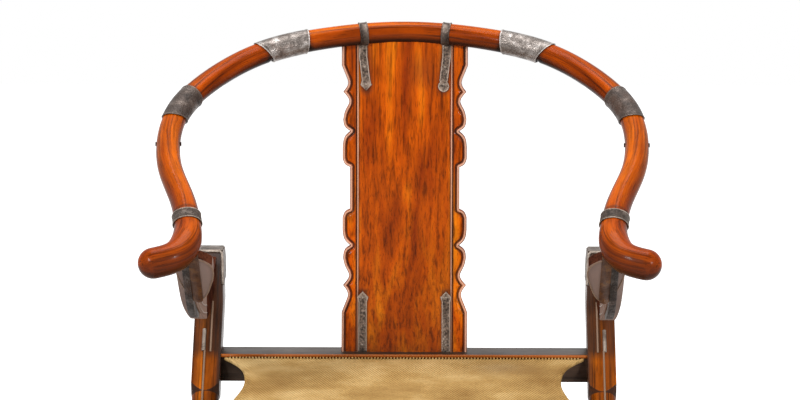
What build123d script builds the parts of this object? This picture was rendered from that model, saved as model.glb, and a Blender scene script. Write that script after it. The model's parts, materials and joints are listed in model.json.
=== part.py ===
from build123d import *
import math
import os

# A folding armchair with a horseshoe-shaped arm rail, in millimetres.
# +Z is up, the sitter faces -Y, and the origin lies on the floor under the middle of the chair.
# "ahead" is a distance in front of the rear seat rail's centre line, "rise" a height above the seat rails.

# ---------------------------------------------------------------- driving dimensions

# Seat and legs
seat_height = 500.0            # top of both seat rails
seat_span = 450.0              # centre line to centre line of the seat rails
rail_depth = 44.0              # seat rail, front to back
rail_height = 40.0             # seat rail, top to bottom
rail_bead = 5.0                # bead along the seat rail's inner top edge
leg_square = 40.0              # square blocks of the legs
leg_round = 39.0               # turned stretches of the legs
leg_shoulder = 16.0            # length over which a square block turns round
leg_neck = 0.4                 # how far a shoulder starts inside the round stretch
front_leg_half_span = 281.5    # middle of the outer legs, from the middle of the chair
leg_gap = 2.0                  # between an outer and an inner leg
front_foot_ahead = 490.0       # where the outer legs meet the floor
rear_foot_ahead = -40.0        # where the inner legs meet the floor
elbow_rise = 124.5             # top of the outer legs, above the seat
elbow_trim = 10.0              # cut off the elbow's sharp rear corner
elbow_round = 6.0              # rounding of the elbow's rear top edge
elbow_depth = 32.0             # of the iron plate on the elbow's top
elbow_slimming = 5.0           # how much the inner face of the outer legs draws in at the elbow
slimming_from = 60.0           # rise at which that begins
pivot_block = 96.0             # square stretch of the legs round the pivot
foot_block = 112.0             # square stretch at the outer legs' feet
rear_foot_block = 60.0         # square stretch at the inner legs' feet
head_block = 62.0              # square stretch below the seat rails

# Floor runners
sledge_overhang = 2.0          # past the outer legs, on each side
sledge_depth = 54.0
sledge_height = 34.0
sledge_round = 6.0

# Pivots
pivot_radius = 6.0
pivot_head_radius = 10.0
pivot_head_height = 4.0
rosette_radius = 17.0
rosette_height = 1.6
running_fit = 0.05             # radial play of a pin in its running bore
side_play = 0.3                # sideways play of the folding legs

# Cutting tools
over = 1.0                     # how far a cut runs past what it cuts
room = 3000.0                  # more than the whole chair

# Arm rail: half span, ahead, rise of its centre line from the crest to the hand-hold
crest_rise = 451.0
crest_back = 70.0
arm_half_span = 318.0
arm_line = [
    (0.0, -crest_back, crest_rise),
    (107.0, -56.0, 444.3),
    (191.0, -26.0, 429.9),
    (272.0, 45.0, 395.8),
    (307.0, 104.0, 367.5),
    (arm_half_span, 180.0, 331.0),
    (310.5, 235.0, 304.6),
    (290.0, 296.0, 275.3),
    (279.0, 350.0, 249.4),
    (280.0, 385.0, 232.6),
    (292.0, 407.0, 222.0),
    (318.0, 419.5, 216.0),
]
# Half thickness of the arm rail, at a distance along it from the crest
arm_girth = [
    (0.0, 14.8),
    (100.0, 15.2),
    (170.0, 15.6),
    (430.0, 16.1),
    (600.0, 16.7),
    (660.0, 17.6),
    (700.0, 20.4),
    (2000.0, 20.8),
]
section_step = 30.0            # spacing of the sections that the arm rail is drawn through
scarf_slant = 58.0             # lean of the joints between the rail's stretches, degrees

# Iron on the arm rail
iron = 1.5                     # thickness of every iron strap and sleeve
iron_fit = 0.12                # gap between an iron piece and the wood that it lies on
inner_sleeve_at = 175.0        # distance along the rail from the crest
inner_sleeve_length = 66.0
inner_sleeve_slants = (-12.0, 30.0)   # lean of its end towards the crest and of the other, degrees
outer_sleeve_at = 384.0
outer_sleeve_length = 60.0
outer_sleeve_slants = (0.0, 34.0)
band_at = 650.0
band_width = 20.0
band_slant = 20.0
stud_at = 473.0
stud_radius = 3.0
stud_height = 1.4
stud_sides = 8

# Back splat
splat_half_width = 68.2        # the middle board
splat_thickness = 13.0
splat_belly = 14.0             # how far the splat bows back from straight
flange_thickness = 9.0
flange_middle_rise = 228.5     # the flanges' outline is the same above and below this rise
flange_foot = 90.0             # half width of the splat over its flanges, at its foot
# Outline of a flange from its middle up: distance from the splat's middle, height from its own
flange_line = [
    [(78.4, 0.0), (78.4, 30.0)],
    [(78.4, 30.0), (85.0, 33.5), (89.0, 42.0)],
    [(89.0, 42.0), (89.0, 58.0)],
    [(89.0, 58.0), (85.7, 73.0), (77.6, 81.0)],
    [(77.6, 81.0), (85.8, 87.5), (88.2, 98.0)],
    [(88.2, 98.0), (84.8, 111.0), (79.6, 123.0), (88.0, 137.0)],
    [(88.0, 137.0), (81.2, 149.0), (84.4, 161.0), (flange_foot, 175.0)],
]

# Straps that hold the splat
strap_width = 12.4
strap_head_width = 16.6        # of the pointed end
strap_head = 15.0              # length of the pointed end
strap_tip = 8.0                # length of its point
strap_half_span = 59.6
strap_bend = 18.0              # length of the upright part at its root
strap_lean = 4.2               # how far the upper straps' points lie inwards of their tops
upper_strap_length = 68.0
lower_strap_length = 84.0
nail_radius = 1.7
nail_height = 1.0
nail_inset = 9.0               # from the ends of a strap

# Arm post, the curved piece from the elbow up to the arm rail
post_inset = 13.0              # from the inner face of the leg
post_width = 19.5
post_root_top = (-6.0, 0.0)    # where its edges start in the leg, from the middle of the leg's top
post_root_low = (42.0, -34.0)
# Ahead and rise along the post's upper and lower edge
post_upper_edge = [(-60.0, 114.0), (20.0, 103.0), (100.0, 103.0), (175.0, 119.0), (238.0, 151.0),
                   (284.0, 196.0), (318.0, 262.0)]
post_lower_edge = [(386.0, 228.0), (374.0, 207.0), (338.0, 172.0), (290.0, 138.0), (230.0, 110.0),
                   (160.0, 85.0), (95.0, 69.0), (20.0, 69.0)]
leaf_length = 107.0
leaf_width = 48.0
leaf_thickness = 14.0
leaf_middle = (347.5, 177.5)   # ahead and rise of the leaf's middle, in front of the post's lower face
leaf_lean = 45.0               # slope of the leaf, degrees
leaf_shift = 15.0              # how far the leaf lies inside the post's middle
# Half outline of the leaf from its round end to its tip, as shares of its half width and half length
leaf_round_end = [(0.0, 1.0), (0.68, 0.84), (1.0, 0.58)]
leaf_taper = [(1.0, 0.58), (0.91, -0.05), (0.72, -0.4), (0.36, -0.81), (0.0, -1.0)]
post_strap_width = 13.5
post_strap_above = 14.0        # how far it runs past the leaf's upper end, up to the arm
post_strap_short = 2.0         # how far it stops short of the leaf's tip
brace_width = 9.5
brace_depth = 12.0
brace_edge = [(376.0, 204.0), (340.0, 165.0), (295.0, 126.0), (250.0, 106.0), (215.0, 97.0)]

# Iron on the legs
elbow_plate_drop = 40.0        # of the plate on the elbow's inner face
leg_strap_width = 8.0
leg_strap_rise = 24.0
leg_strap_drop = 15.0
leg_strap_shift = 5.0          # how far it lies outside the middle of the leg
foot_plate_height = 26.0

# Footrest
footrest_front_ahead = 620.0
footrest_back_ahead = 462.0
footrest_pin_height = 62.0
footrest_pin_radius = 5.0
footrest_pin_depth = 14.0      # how far the pin stands in the leg
footrest_side_width = 26.0
footrest_side_height = 26.0
footrest_board_thickness = 14.0
footrest_board_round = 3.5
footrest_play = 1.5            # between the footrest and each leg
footrest_foot_depth = 26.0
footrest_foot_taper = 6.0      # how much narrower the feet are at the floor
footrest_apron_thickness = 14.0
footrest_plate_length = 150.0
footrest_plate_width = 84.0
footrest_plate_hollow = 0.4    # how far out its sides run, as a share; 0.5 is straight
corner_plate = 38.0

# Seat mat
mat_thickness = 3.0
mat_drop = 6.0                 # mat's top below the seat rails' top
mat_sag = 4.0
mat_gap = 0.4                  # between the mat and each seat rail
mat_half_width = 257.0         # at the seat rails
# How far its side edge is drawn in: share of the way to the front rail, distance
mat_draw_in = [(0.0, 0.0), (0.1, 23.0), (0.23, 35.0), (0.36, 37.0), (0.54, 29.0), (0.76, 15.0), (1.0, 0.0)]

# ---------------------------------------------------------------- worked-out places

front_leg_inner = front_leg_half_span - leg_square / 2
front_leg_outer = front_leg_half_span + leg_square / 2
rear_leg_outer = front_leg_inner - leg_gap
rear_leg_half_span = rear_leg_outer - leg_square / 2
rear_leg_inner = rear_leg_outer - leg_square
sledge_length = 2 * (front_leg_outer + sledge_overhang)
elbow_height = seat_height + elbow_rise
front_leg_slope = seat_height / front_foot_ahead
front_leg_foot = (front_foot_ahead, 0.0)
front_leg_head = (front_foot_ahead - elbow_height / front_leg_slope, elbow_height)
rear_leg_foot = (rear_foot_ahead, 0.0)
rear_leg_head = (seat_span, seat_height - rail_height / 2)
level_half_depth = leg_square / 2 * math.hypot(1, 1 / front_leg_slope)   # of an outer leg
elbow_back = level_half_depth - front_leg_head[0] - elbow_trim
middle_ahead = (footrest_front_ahead - elbow_back) / 2
post_inner = front_leg_inner + post_inset
post_middle = post_inner + post_width / 2
leaf_span = post_middle - leaf_shift


def point(x, ahead, z):
    """A point of the chair from its half span, its distance ahead and its height."""
    return Vector(x, middle_ahead - ahead, z)


def side(ahead, z):
    """The same in the side view, as the first two coordinates of Plane.YZ."""
    return (middle_ahead - ahead, z)


def across(face, inner, width):
    """A side-view face made into a plate that runs outward from inner."""
    return extrude(Plane.YZ.offset(inner) * face, amount=width)


def meeting(foot_a, head_a, foot_b, head_b):
    """Where two side-view lines cross, as ahead and height."""
    (a0, h0), (a1, h1), (b0, k0), (b1, k1) = foot_a, head_a, foot_b, head_b
    apart = (b0 - a0) * (k1 - k0) - (k0 - h0) * (b1 - b0)
    spread = (a1 - a0) * (k1 - k0) - (h1 - h0) * (b1 - b0)
    return (a0 + apart / spread * (a1 - a0), h0 + apart / spread * (h1 - h0))


pivot = meeting(front_leg_foot, front_leg_head, rear_leg_foot, rear_leg_head)


def distance(a, b):
    return math.hypot(b[0] - a[0], b[1] - a[1])


def pair(name, right):
    """Right piece and its mirror image, under their node names."""
    return {name + "_right": right, name + "_left": mirror(right, about=Plane.YZ)}


def both(right):
    """Right piece and its mirror image, as two solids of one node."""
    return Compound(children=list(right.solids()) + list(mirror(right, about=Plane.YZ).solids()))


# ---------------------------------------------------------------- legs


def leg_plane(half_span, foot, head):
    """Frame of a leg: origin at its foot, Z along it, X across the chair."""
    start = point(half_span, *foot)
    return Plane(origin=start, x_dir=(1, 0, 0), z_dir=point(half_span, *head) - start)


def square_block(start, end):
    """A square stretch of a leg whose corners are turned away at both ends."""
    block = Pos(0, 0, start) * Box(
        leg_square, leg_square, end - start, align=(Align.CENTER, Align.CENTER, Align.MIN)
    )
    neck = leg_round / 2 - leg_neck
    corner = leg_square / math.sqrt(2) + over
    outline = Polyline(
        (0, start), (neck, start), (corner, start + leg_shoulder),
        (corner, end - leg_shoulder), (neck, end), (0, end), close=True,
    )
    turned = revolve(Plane.XZ * make_face(outline), axis=Axis.Z)
    return block & turned


def turned_leg(half_span, foot, head, blocks):
    """Round leg with square blocks, each given by its two distances from the foot."""
    leg = Cylinder(
        leg_round / 2, distance(foot, head), align=(Align.CENTER, Align.CENTER, Align.MIN)
    )
    for start, end in blocks:
        leg += square_block(start, end)
    return leg_plane(half_span, foot, head) * leg


def slab_of_height(bottom, top):
    """Everything between two heights, for trimming."""
    return Pos(0, 0, bottom) * Box(room, room, top - bottom, align=(Align.CENTER, Align.CENTER, Align.MIN))


def cylinder_across(centre, radius, inner, outer):
    """A rod along X between two half spans, at a place given by ahead and height."""
    return Plane(origin=point(inner, *centre), x_dir=(0, 1, 0), z_dir=(1, 0, 0)) * Cylinder(
        radius, outer - inner, align=(Align.CENTER, Align.CENTER, Align.MIN)
    )


front_leg_length = distance(front_leg_foot, front_leg_head)
front_pivot_at = distance(front_leg_foot, pivot)
front_rail_at = distance(front_leg_foot, (0.0, seat_height))
rear_leg_length = distance(rear_leg_foot, rear_leg_head)
rear_pivot_at = distance(rear_leg_foot, pivot)
footrest_pin = (front_foot_ahead - footrest_pin_height / front_leg_slope, footrest_pin_height)


def slimming():
    """What the outer leg's inner face loses towards the elbow, as a wedge along the chair."""
    start = seat_height + slimming_from
    top = elbow_height + over
    wide = elbow_slimming * (top - start) / (elbow_height - start)
    outline = Polyline(
        (front_leg_inner - over, start), (front_leg_inner, start),
        (front_leg_inner + wide, top), (front_leg_inner - over, top), close=True,
    )
    return extrude(Plane.XZ * make_face(outline), amount=room, both=True)


def front_leg():
    """Outer leg: from the front foot, past the pivot and the rear seat rail, up to the elbow."""
    extra = leg_square
    leg = turned_leg(
        front_leg_half_span,
        front_leg_foot,
        (front_leg_head[0] - extra, front_leg_head[1] + extra * front_leg_slope),
        [
            (-leg_shoulder, foot_block),
            (front_pivot_at - pivot_block / 2, front_pivot_at + pivot_block / 2),
            (front_rail_at - head_block, front_leg_length + extra),
        ],
    )
    behind = Pos(0, middle_ahead + elbow_back, 0) * Box(
        room, room, room, align=(Align.CENTER, Align.MIN, Align.CENTER)
    )
    leg = leg & slab_of_height(sledge_height, elbow_height)
    leg -= behind
    leg = fillet(leg.edges().filter_by(Axis.X).group_by(Axis.Y)[-1].sort_by(Axis.Z)[-1], elbow_round)
    leg -= slimming()
    leg -= cylinder_across(pivot, pivot_radius, front_leg_inner - over, front_leg_outer + over)
    leg -= cylinder_across(
        footrest_pin, footrest_pin_radius, front_leg_inner - over, front_leg_inner + footrest_pin_depth
    )
    return leg


def rear_leg():
    """Inner leg: from the rear foot, past the pivot, up to the front seat rail."""
    leg = turned_leg(
        rear_leg_half_span,
        rear_leg_foot,
        rear_leg_head,
        [
            (-leg_shoulder, rear_foot_block),
            (rear_pivot_at - pivot_block / 2, rear_pivot_at + pivot_block / 2),
            (rear_leg_length - head_block, rear_leg_length + leg_shoulder),
        ],
    )
    leg = leg & slab_of_height(sledge_height, seat_height - rail_height)
    bore = pivot_radius + running_fit
    return leg - cylinder_across(pivot, bore, rear_leg_inner - over, rear_leg_outer + over)


def pivot_pin():
    """Pin through both legs, with a domed head at each end."""
    inner_face = rear_leg_inner - side_play
    outer_face = front_leg_outer + rosette_height
    pin = cylinder_across(pivot, pivot_radius, inner_face, outer_face)
    pin += cylinder_across(pivot, pivot_head_radius, outer_face, outer_face + pivot_head_height)
    pin += cylinder_across(pivot, pivot_head_radius, inner_face - pivot_head_height, inner_face)
    return pin


def pivot_washers():
    """Rosette outside the outer leg and spacer ring between the legs."""
    rosette = cylinder_across(pivot, rosette_radius, front_leg_outer, front_leg_outer + rosette_height)
    rosette -= cylinder_across(
        pivot, pivot_radius, front_leg_outer - over, front_leg_outer + rosette_height + over
    )
    spacer = cylinder_across(pivot, rosette_radius, rear_leg_outer + side_play, front_leg_inner)
    spacer -= cylinder_across(pivot, pivot_radius, rear_leg_outer - over, front_leg_inner + over)
    return Compound(children=[rosette.solid(), spacer.solid()])


# ---------------------------------------------------------------- seat rails and floor runners


def seat_rail_face(ahead, faces):
    """Side-view outline of a seat rail; faces is +1 where the bead looks forward and -1 back."""
    top = seat_height
    body = Pos(*side(ahead, top - rail_height / 2)) * Rectangle(rail_depth, rail_height)
    bead_middle = side(ahead + faces * rail_depth / 2, top - rail_bead / 2)
    return body + Pos(*bead_middle) * Circle(rail_bead / 2)


def seat_rail(ahead, faces, half_length):
    return across(seat_rail_face(ahead, faces), -half_length, 2 * half_length)


def sledge(ahead):
    """Bar on the floor that carries a pair of legs."""
    bar = Pos(0, middle_ahead - ahead, sledge_height / 2) * Box(
        sledge_length, sledge_depth, sledge_height
    )
    return fillet(bar.edges().filter_by(Axis.X).group_by(Axis.Z)[-1], sledge_round)


def foot_plate(half_span, foot, face):
    """Iron shoe plate on one face of a leg's foot; face is +1 for its front and -1 for its back."""
    plane = leg_plane(half_span, foot, pivot)
    offset = face * (leg_square / 2 + iron_fit + iron / 2)
    length = foot_plate_height + sledge_height + leg_square
    plate = plane * Pos(0, -offset, length / 2) * Box(leg_square, iron, length)
    return plate & slab_of_height(sledge_height, sledge_height + foot_plate_height)


# ---------------------------------------------------------------- arm rail

arm_points = [point(x, ahead, seat_height + rise) for x, ahead, rise in arm_line]
mirrored_points = [Vector(-p.X, p.Y, p.Z) for p in reversed(arm_points[1:])]
arm_curve = Spline(*mirrored_points, *arm_points)
half_arm = arm_curve.length / 2


def girth_at(s):
    """Half thickness of the arm rail at a distance along it from the crest."""
    for (s0, r0), (s1, r1) in zip(arm_girth, arm_girth[1:]):
        if abs(s) <= s1:
            return r0 + (r1 - r0) * (abs(s) - s0) / (s1 - s0)
    return arm_girth[-1][1]


def arm_plane(s):
    """Frame across the arm rail: Z along the rail, X level."""
    share = 0.5 + s / (2 * half_arm)
    ahead_of = arm_curve.tangent_at(share)
    level = ahead_of.cross(Vector(0, 0, 1)).normalized()
    return Plane(origin=arm_curve.position_at(share), x_dir=level, z_dir=ahead_of)


def arm_between(start, end, swell=0.0):
    """Round stretch of the arm rail, swell larger all round."""
    steps = max(2, math.ceil((end - start) / section_step))
    places = [start + (end - start) * i / steps for i in range(steps + 1)]
    return loft([arm_plane(s) * Circle(girth_at(s) + swell) for s in places])


def slanted(s, degrees):
    """Frame across the arm rail that leans along it."""
    return arm_plane(s).rotated((degrees, 0, 0))


def mirrored_slant(s, degrees):
    """The slanted frame on the left side that mirrors the one on the right at s."""
    plane = slanted(s, degrees)
    normal = plane.z_dir
    return Plane(
        origin=Vector(-plane.origin.X, plane.origin.Y, plane.origin.Z),
        z_dir=Vector(-normal.X, normal.Y, normal.Z),
    )


def crest_rail_center():
    reach = inner_sleeve_at + inner_sleeve_length / 2
    rail = arm_between(-reach, reach)
    rail = split(rail, bisect_by=slanted(inner_sleeve_at, scarf_slant), keep=Keep.BOTTOM)
    return split(rail, bisect_by=mirrored_slant(inner_sleeve_at, scarf_slant), keep=Keep.BOTTOM)


def crest_rail():
    rail = arm_between(
        inner_sleeve_at - inner_sleeve_length / 2, outer_sleeve_at + outer_sleeve_length / 2
    )
    rail = split(rail, bisect_by=slanted(inner_sleeve_at, scarf_slant), keep=Keep.TOP)
    return split(rail, bisect_by=slanted(outer_sleeve_at, scarf_slant), keep=Keep.BOTTOM)


def arm_rail():
    """Front stretch of the rail, ending in the round hand-hold."""
    rail = arm_between(outer_sleeve_at - outer_sleeve_length / 2, half_arm)
    rail = split(rail, bisect_by=slanted(outer_sleeve_at, scarf_slant), keep=Keep.TOP)
    tip = arm_plane(half_arm) * Sphere(girth_at(half_arm), arc_size1=0, align=Align.NONE)
    return rail + tip


def sleeve(s, length, slants):
    """Iron sleeve round the arm rail, with its two ends leaning along the rail."""
    start, end = s - length / 2, s + length / 2
    extra = girth_at(s)
    tube = arm_between(start - extra, end + extra, iron_fit + iron)
    tube -= arm_between(start - extra - over, end + extra + over, iron_fit)
    tube = split(tube, bisect_by=slanted(start, slants[0]), keep=Keep.TOP)
    return split(tube, bisect_by=slanted(end, slants[1]), keep=Keep.BOTTOM)


def arm_band(post):
    """Ring round the arm rail above the post, open where the post comes through."""
    return sleeve(band_at, band_width, (band_slant, band_slant)) - post


def arm_studs(rail):
    """Forged pin heads on the inner and the outer side of the arm rail."""
    reach = girth_at(stud_at) + stud_height
    pin = extrude(Plane.YZ * RegularPolygon(stud_radius, stud_sides), amount=reach, both=True)
    return arm_plane(stud_at) * pin - rail


# ---------------------------------------------------------------- splat

splat_foot = (0.0, seat_height)
splat_head = (-crest_back, seat_height + crest_rise)
splat_bow = (-crest_back / 2 - splat_belly, seat_height + crest_rise / 2)


def splat_band(front, back):
    """Side-view band between two copies of the splat's bow, at distances ahead of it."""
    ends = []
    for shift in (front, back):
        a, b, c = [side(p[0] + shift, p[1]) for p in (splat_foot, splat_bow, splat_head)]
        ends.append((a, b, c))
    (fa, fb, fc), (ba, bb, bc) = ends
    return make_face(
        ThreePointArc(fa, fb, fc) + Line(fc, bc) + ThreePointArc(bc, bb, ba) + Line(ba, fa)
    )


def splat_panel(crest):
    half = splat_thickness / 2
    return across(splat_band(half, -half), -splat_half_width, 2 * splat_half_width) - crest


def flange_outline():
    """Half outline of a flange above its middle, as x and height from the middle."""
    edge = Curve()
    for stretch in flange_line:
        edge += Line(*stretch) if len(stretch) == 2 else Spline(*stretch)
    waist, foot = flange_line[0][0], flange_line[-1][-1]
    top = (flange_foot, flange_middle_rise)
    return make_face(
        edge
        + Line(foot, top)
        + Line(top, (splat_half_width, flange_middle_rise))
        + Line((splat_half_width, flange_middle_rise), (splat_half_width, 0))
        + Line((splat_half_width, 0), waist)
    )


def splat_flange(crest):
    """Shaped edge of the splat, with lobes and cusps that mirror about its middle."""
    half = flange_outline()
    face = half + mirror(half, about=Plane.XZ)
    middle = seat_height + flange_middle_rise
    front = Plane(origin=(0, middle_ahead, middle), x_dir=(1, 0, 0), z_dir=(0, -1, 0))
    cutter = extrude(front * face, amount=room, both=True)
    thick = flange_thickness / 2
    board = across(splat_band(thick, -thick), splat_half_width, flange_foot)
    return (board & cutter) - crest


def strap_outline(root, tip, lean=0.0):
    """Front-view outline of a strap: upright at its root, then leaning inwards to its pointed tip."""
    way = math.copysign(1, tip - root)
    bend, head, shoulder = root + way * strap_bend, tip - way * strap_head, tip - way * strap_tip
    half, wide = strap_width / 2, strap_head_width / 2
    x, end = strap_half_span, strap_half_span - lean
    points = [
        (x - half, bend), (x - half, root), (x + half, root), (x + half, bend),
        (end + half, head), (end + wide, shoulder), (end, tip), (end - wide, shoulder), (end - half, head),
    ]
    return make_face(Polyline(*points, close=True))


def on_splat(outline, lift, thickness):
    """A piece of the splat's front skin within a front-view outline."""
    near = splat_thickness / 2 + lift
    skin = across(splat_band(near + thickness, near), 0, 2 * splat_half_width)
    front = Plane(origin=(0, middle_ahead, 0), x_dir=(1, 0, 0), z_dir=(0, -1, 0))
    return skin & extrude(front * outline, amount=room, both=True)


crest_under = seat_height + crest_rise - girth_at(strap_half_span)


def crest_strap():
    """Strap round the crest rail whose tail runs down the splat."""
    half = strap_width / 2
    start, end = strap_half_span - strap_width, strap_half_span + strap_width
    wood = arm_between(start - over, end + over, iron_fit)
    loop = arm_between(start, end, iron_fit + iron) & Pos(strap_half_span, 0, 0) * Box(
        strap_width, room, room
    )
    tail = on_splat(
        strap_outline(crest_under + half, crest_under - upper_strap_length, strap_lean), iron_fit, iron
    )
    reach = splat_thickness / 2 + iron_fit
    board = across(splat_band(reach, -reach), 0, splat_half_width)
    return loop + tail - wood - board


def splat_strap():
    """Strap from the rear seat rail up the foot of the splat."""
    return on_splat(strap_outline(seat_height, seat_height + lower_strap_length), iron_fit, iron)


def strap_nails():
    """Nail heads near both ends of the splat's straps."""
    upper_tip = crest_under - upper_strap_length
    spots = [
        (strap_half_span - strap_lean, upper_tip + nail_inset),
        (strap_half_span - strap_lean / 2, upper_tip + upper_strap_length / 2),
        (strap_half_span, seat_height + nail_inset),
        (strap_half_span, seat_height + lower_strap_length - nail_inset),
    ]
    heads = [on_splat(Pos(*spot) * Circle(nail_radius), iron_fit + iron, nail_height) for spot in spots]
    return Compound(children=[head.solid() for head in heads])


# ---------------------------------------------------------------- arm post


def post_edge(points):
    return Spline(*[side(ahead, seat_height + rise) for ahead, rise in points])


def from_leg_head(offset):
    """Ahead and rise of a place in the leg, from the middle of its top."""
    return (front_leg_head[0] + offset[0], elbow_rise + offset[1])


def arm_post(leg, rail):
    """Curved post from the elbow to the arm rail, with a leaf-shaped swelling under the arm."""
    upper = post_edge([from_leg_head(post_root_top)] + post_upper_edge)
    lower = post_edge(post_lower_edge + [from_leg_head(post_root_low)])
    face = make_face(upper + Line(upper @ 1, lower @ 0) + lower + Line(lower @ 1, upper @ 0))
    post = across(face, post_inner, post_width)
    return post + leaf() - leg - rail


def leaf_plane():
    """Frame on the post's lower face: X across, Y up the post, Z out of the face."""
    lean = math.radians(leaf_lean)
    ahead, rise = leaf_middle
    return Plane(
        origin=point(leaf_span, ahead, seat_height + rise),
        x_dir=(1, 0, 0),
        z_dir=(0, -math.sin(lean), -math.cos(lean)),
    )


def leaf():
    """Leaf-shaped swelling with its tip towards the elbow."""
    half, reach = leaf_width / 2, leaf_length / 2
    crown = Spline(*[(half * x, reach * y) for x, y in leaf_round_end], tangents=((1, 0), (0, -1)))
    taper = Spline(*[(half * x, reach * y) for x, y in leaf_taper], tangents=((0, -1), (-1, -1)))
    face = make_face(crown + taper + Line((0, -reach), (0, reach)))
    face += mirror(face, about=Plane.YZ)
    return leaf_plane() * extrude(face, amount=-leaf_thickness)


def post_strap(rail):
    """Flat iron strap from the arm down the middle of the leaf, round at its lower end."""
    top = leaf_length / 2 + post_strap_above
    low = post_strap_short + (post_strap_width - leaf_length) / 2
    face = Pos(0, (top + low) / 2) * Rectangle(post_strap_width, top - low)
    face += Pos(0, low) * Circle(post_strap_width / 2)
    return leaf_plane() * Pos(0, 0, iron_fit) * extrude(face, amount=iron) - rail


def arm_brace(post, rail):
    """Iron brace under the post, beside the strap, seated on the leaf and on the post."""
    outer = post_edge(brace_edge)
    inner = post_edge([(ahead - brace_depth, rise + brace_depth) for ahead, rise in brace_edge])
    face = make_face(outer + Line(outer @ 1, inner @ 1) + inner + Line(inner @ 0, outer @ 0))
    start = leaf_span + post_strap_width / 2 + iron_fit
    return across(face, start, brace_width) - post - rail


# ---------------------------------------------------------------- iron on the legs

to_front_leg = leg_plane(front_leg_half_span, front_leg_foot, front_leg_head)
on_leg = leg_square / 2 + iron_fit + iron / 2


def elbow_mount():
    """Iron on the elbow: a plate on its top and one down the leg's inner face."""
    rear = middle_ahead + elbow_back - elbow_round
    top = Pos(front_leg_half_span + elbow_slimming / 2, rear, elbow_height + iron_fit) * Box(
        leg_square - elbow_slimming, elbow_depth, iron, align=(Align.CENTER, Align.MAX, Align.MIN)
    )
    lean = math.degrees(math.atan2(elbow_slimming, elbow_rise - slimming_from))
    face = Pos(front_leg_inner + elbow_slimming - iron_fit, 0, elbow_height) * Rot(0, lean, 0) * Box(
        iron, room, 2 * elbow_plate_drop, align=(Align.MAX, Align.CENTER, Align.CENTER)
    )
    leg_band = to_front_leg * Pos(0, 0, front_leg_length) * Box(room, leg_square, room)
    behind = Pos(0, rear, 0) * Box(room, room, room, align=(Align.CENTER, Align.MAX, Align.CENTER))
    side_plate = face & slab_of_height(0, elbow_height) & leg_band & behind
    return Compound(children=[top, side_plate.solid()])


def leg_strap():
    """Iron strap on the leg's front face, over the joint with the rear seat rail."""
    length = leg_strap_rise + leg_strap_drop
    middle = front_rail_at + (leg_strap_rise - leg_strap_drop) / 2
    return to_front_leg * Pos(leg_strap_shift, -on_leg, middle) * Box(leg_strap_width, iron, length)


# ---------------------------------------------------------------- footrest

footrest_outer = front_leg_inner - footrest_play
footrest_inner = footrest_outer - footrest_side_width
board_under = footrest_pin_height + footrest_side_height / 2
side_under = footrest_pin_height - footrest_side_height / 2


def footrest_box(inner, outer, back, front, low, high):
    """Box between two half spans, two distances ahead and two heights."""
    centre = point((inner + outer) / 2, (back + front) / 2, (low + high) / 2)
    return Pos(*centre) * Box(outer - inner, front - back, high - low)


def footrest_board():
    board = footrest_box(
        -footrest_outer, footrest_outer, footrest_back_ahead, footrest_front_ahead,
        board_under, board_under + footrest_board_thickness,
    )
    return fillet(board.edges().filter_by(Axis.X).group_by(Axis.Z)[-1], footrest_board_round)


def footrest_side():
    """Side bar from the hinge pin to the front foot."""
    front = footrest_front_ahead - footrest_apron_thickness
    half = footrest_side_height / 2
    back = footrest_pin[0]
    face = Pos(*side((back + front) / 2, footrest_pin_height)) * Rectangle(front - back, 2 * half)
    face += Pos(*side(*footrest_pin)) * Circle(half)
    bar = across(face, footrest_inner, footrest_side_width)
    bore = footrest_pin_radius + running_fit
    return bar - cylinder_across(footrest_pin, bore, footrest_inner - over, footrest_outer + over)


def footrest_foot():
    """Foot under the front end of a side bar, a little narrower at the floor."""
    front = footrest_front_ahead - footrest_apron_thickness
    middle = point((footrest_inner + footrest_outer) / 2, front - footrest_foot_depth / 2, 0)
    foot = Rectangle(footrest_side_width - footrest_foot_taper, footrest_foot_depth - footrest_foot_taper)
    head = Pos(0, 0, side_under) * Rectangle(footrest_side_width, footrest_foot_depth)
    return Pos(*middle) * loft([foot, head])


def footrest_apron(back):
    """Board on edge between the side bars."""
    return footrest_box(
        -footrest_inner, footrest_inner, back, back + footrest_apron_thickness, side_under, board_under
    )


def footrest_pin_rod():
    return cylinder_across(
        footrest_pin, footrest_pin_radius, footrest_inner, front_leg_inner + footrest_pin_depth
    )


def footrest_plate():
    """Lozenge of iron on the footrest's board, hollow-sided."""
    half_x, half_y = footrest_plate_length / 2, footrest_plate_width / 2
    middle = point(0, (footrest_back_ahead + footrest_front_ahead) / 2,
                   board_under + footrest_board_thickness)
    right = Vector(half_x, 0)
    far = Vector(0, half_y)
    corners = [right, far, -right, -far]
    sides = zip(corners, corners[1:] + corners[:1])
    rim = Curve() + [ThreePointArc(a, (a + b) * footrest_plate_hollow, b) for a, b in sides]
    return Pos(*middle) * extrude(make_face(rim), amount=iron)


def footrest_corner():
    """Quarter-round iron plate at a front corner of the footrest's board."""
    corner = point(footrest_outer, footrest_front_ahead - footrest_board_round,
                   board_under + footrest_board_thickness)
    face = Circle(corner_plate) & Pos(-corner_plate / 2, corner_plate / 2) * Rectangle(
        corner_plate, corner_plate
    )
    return Pos(*corner) * extrude(face, amount=iron)


# ---------------------------------------------------------------- seat mat


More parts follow.
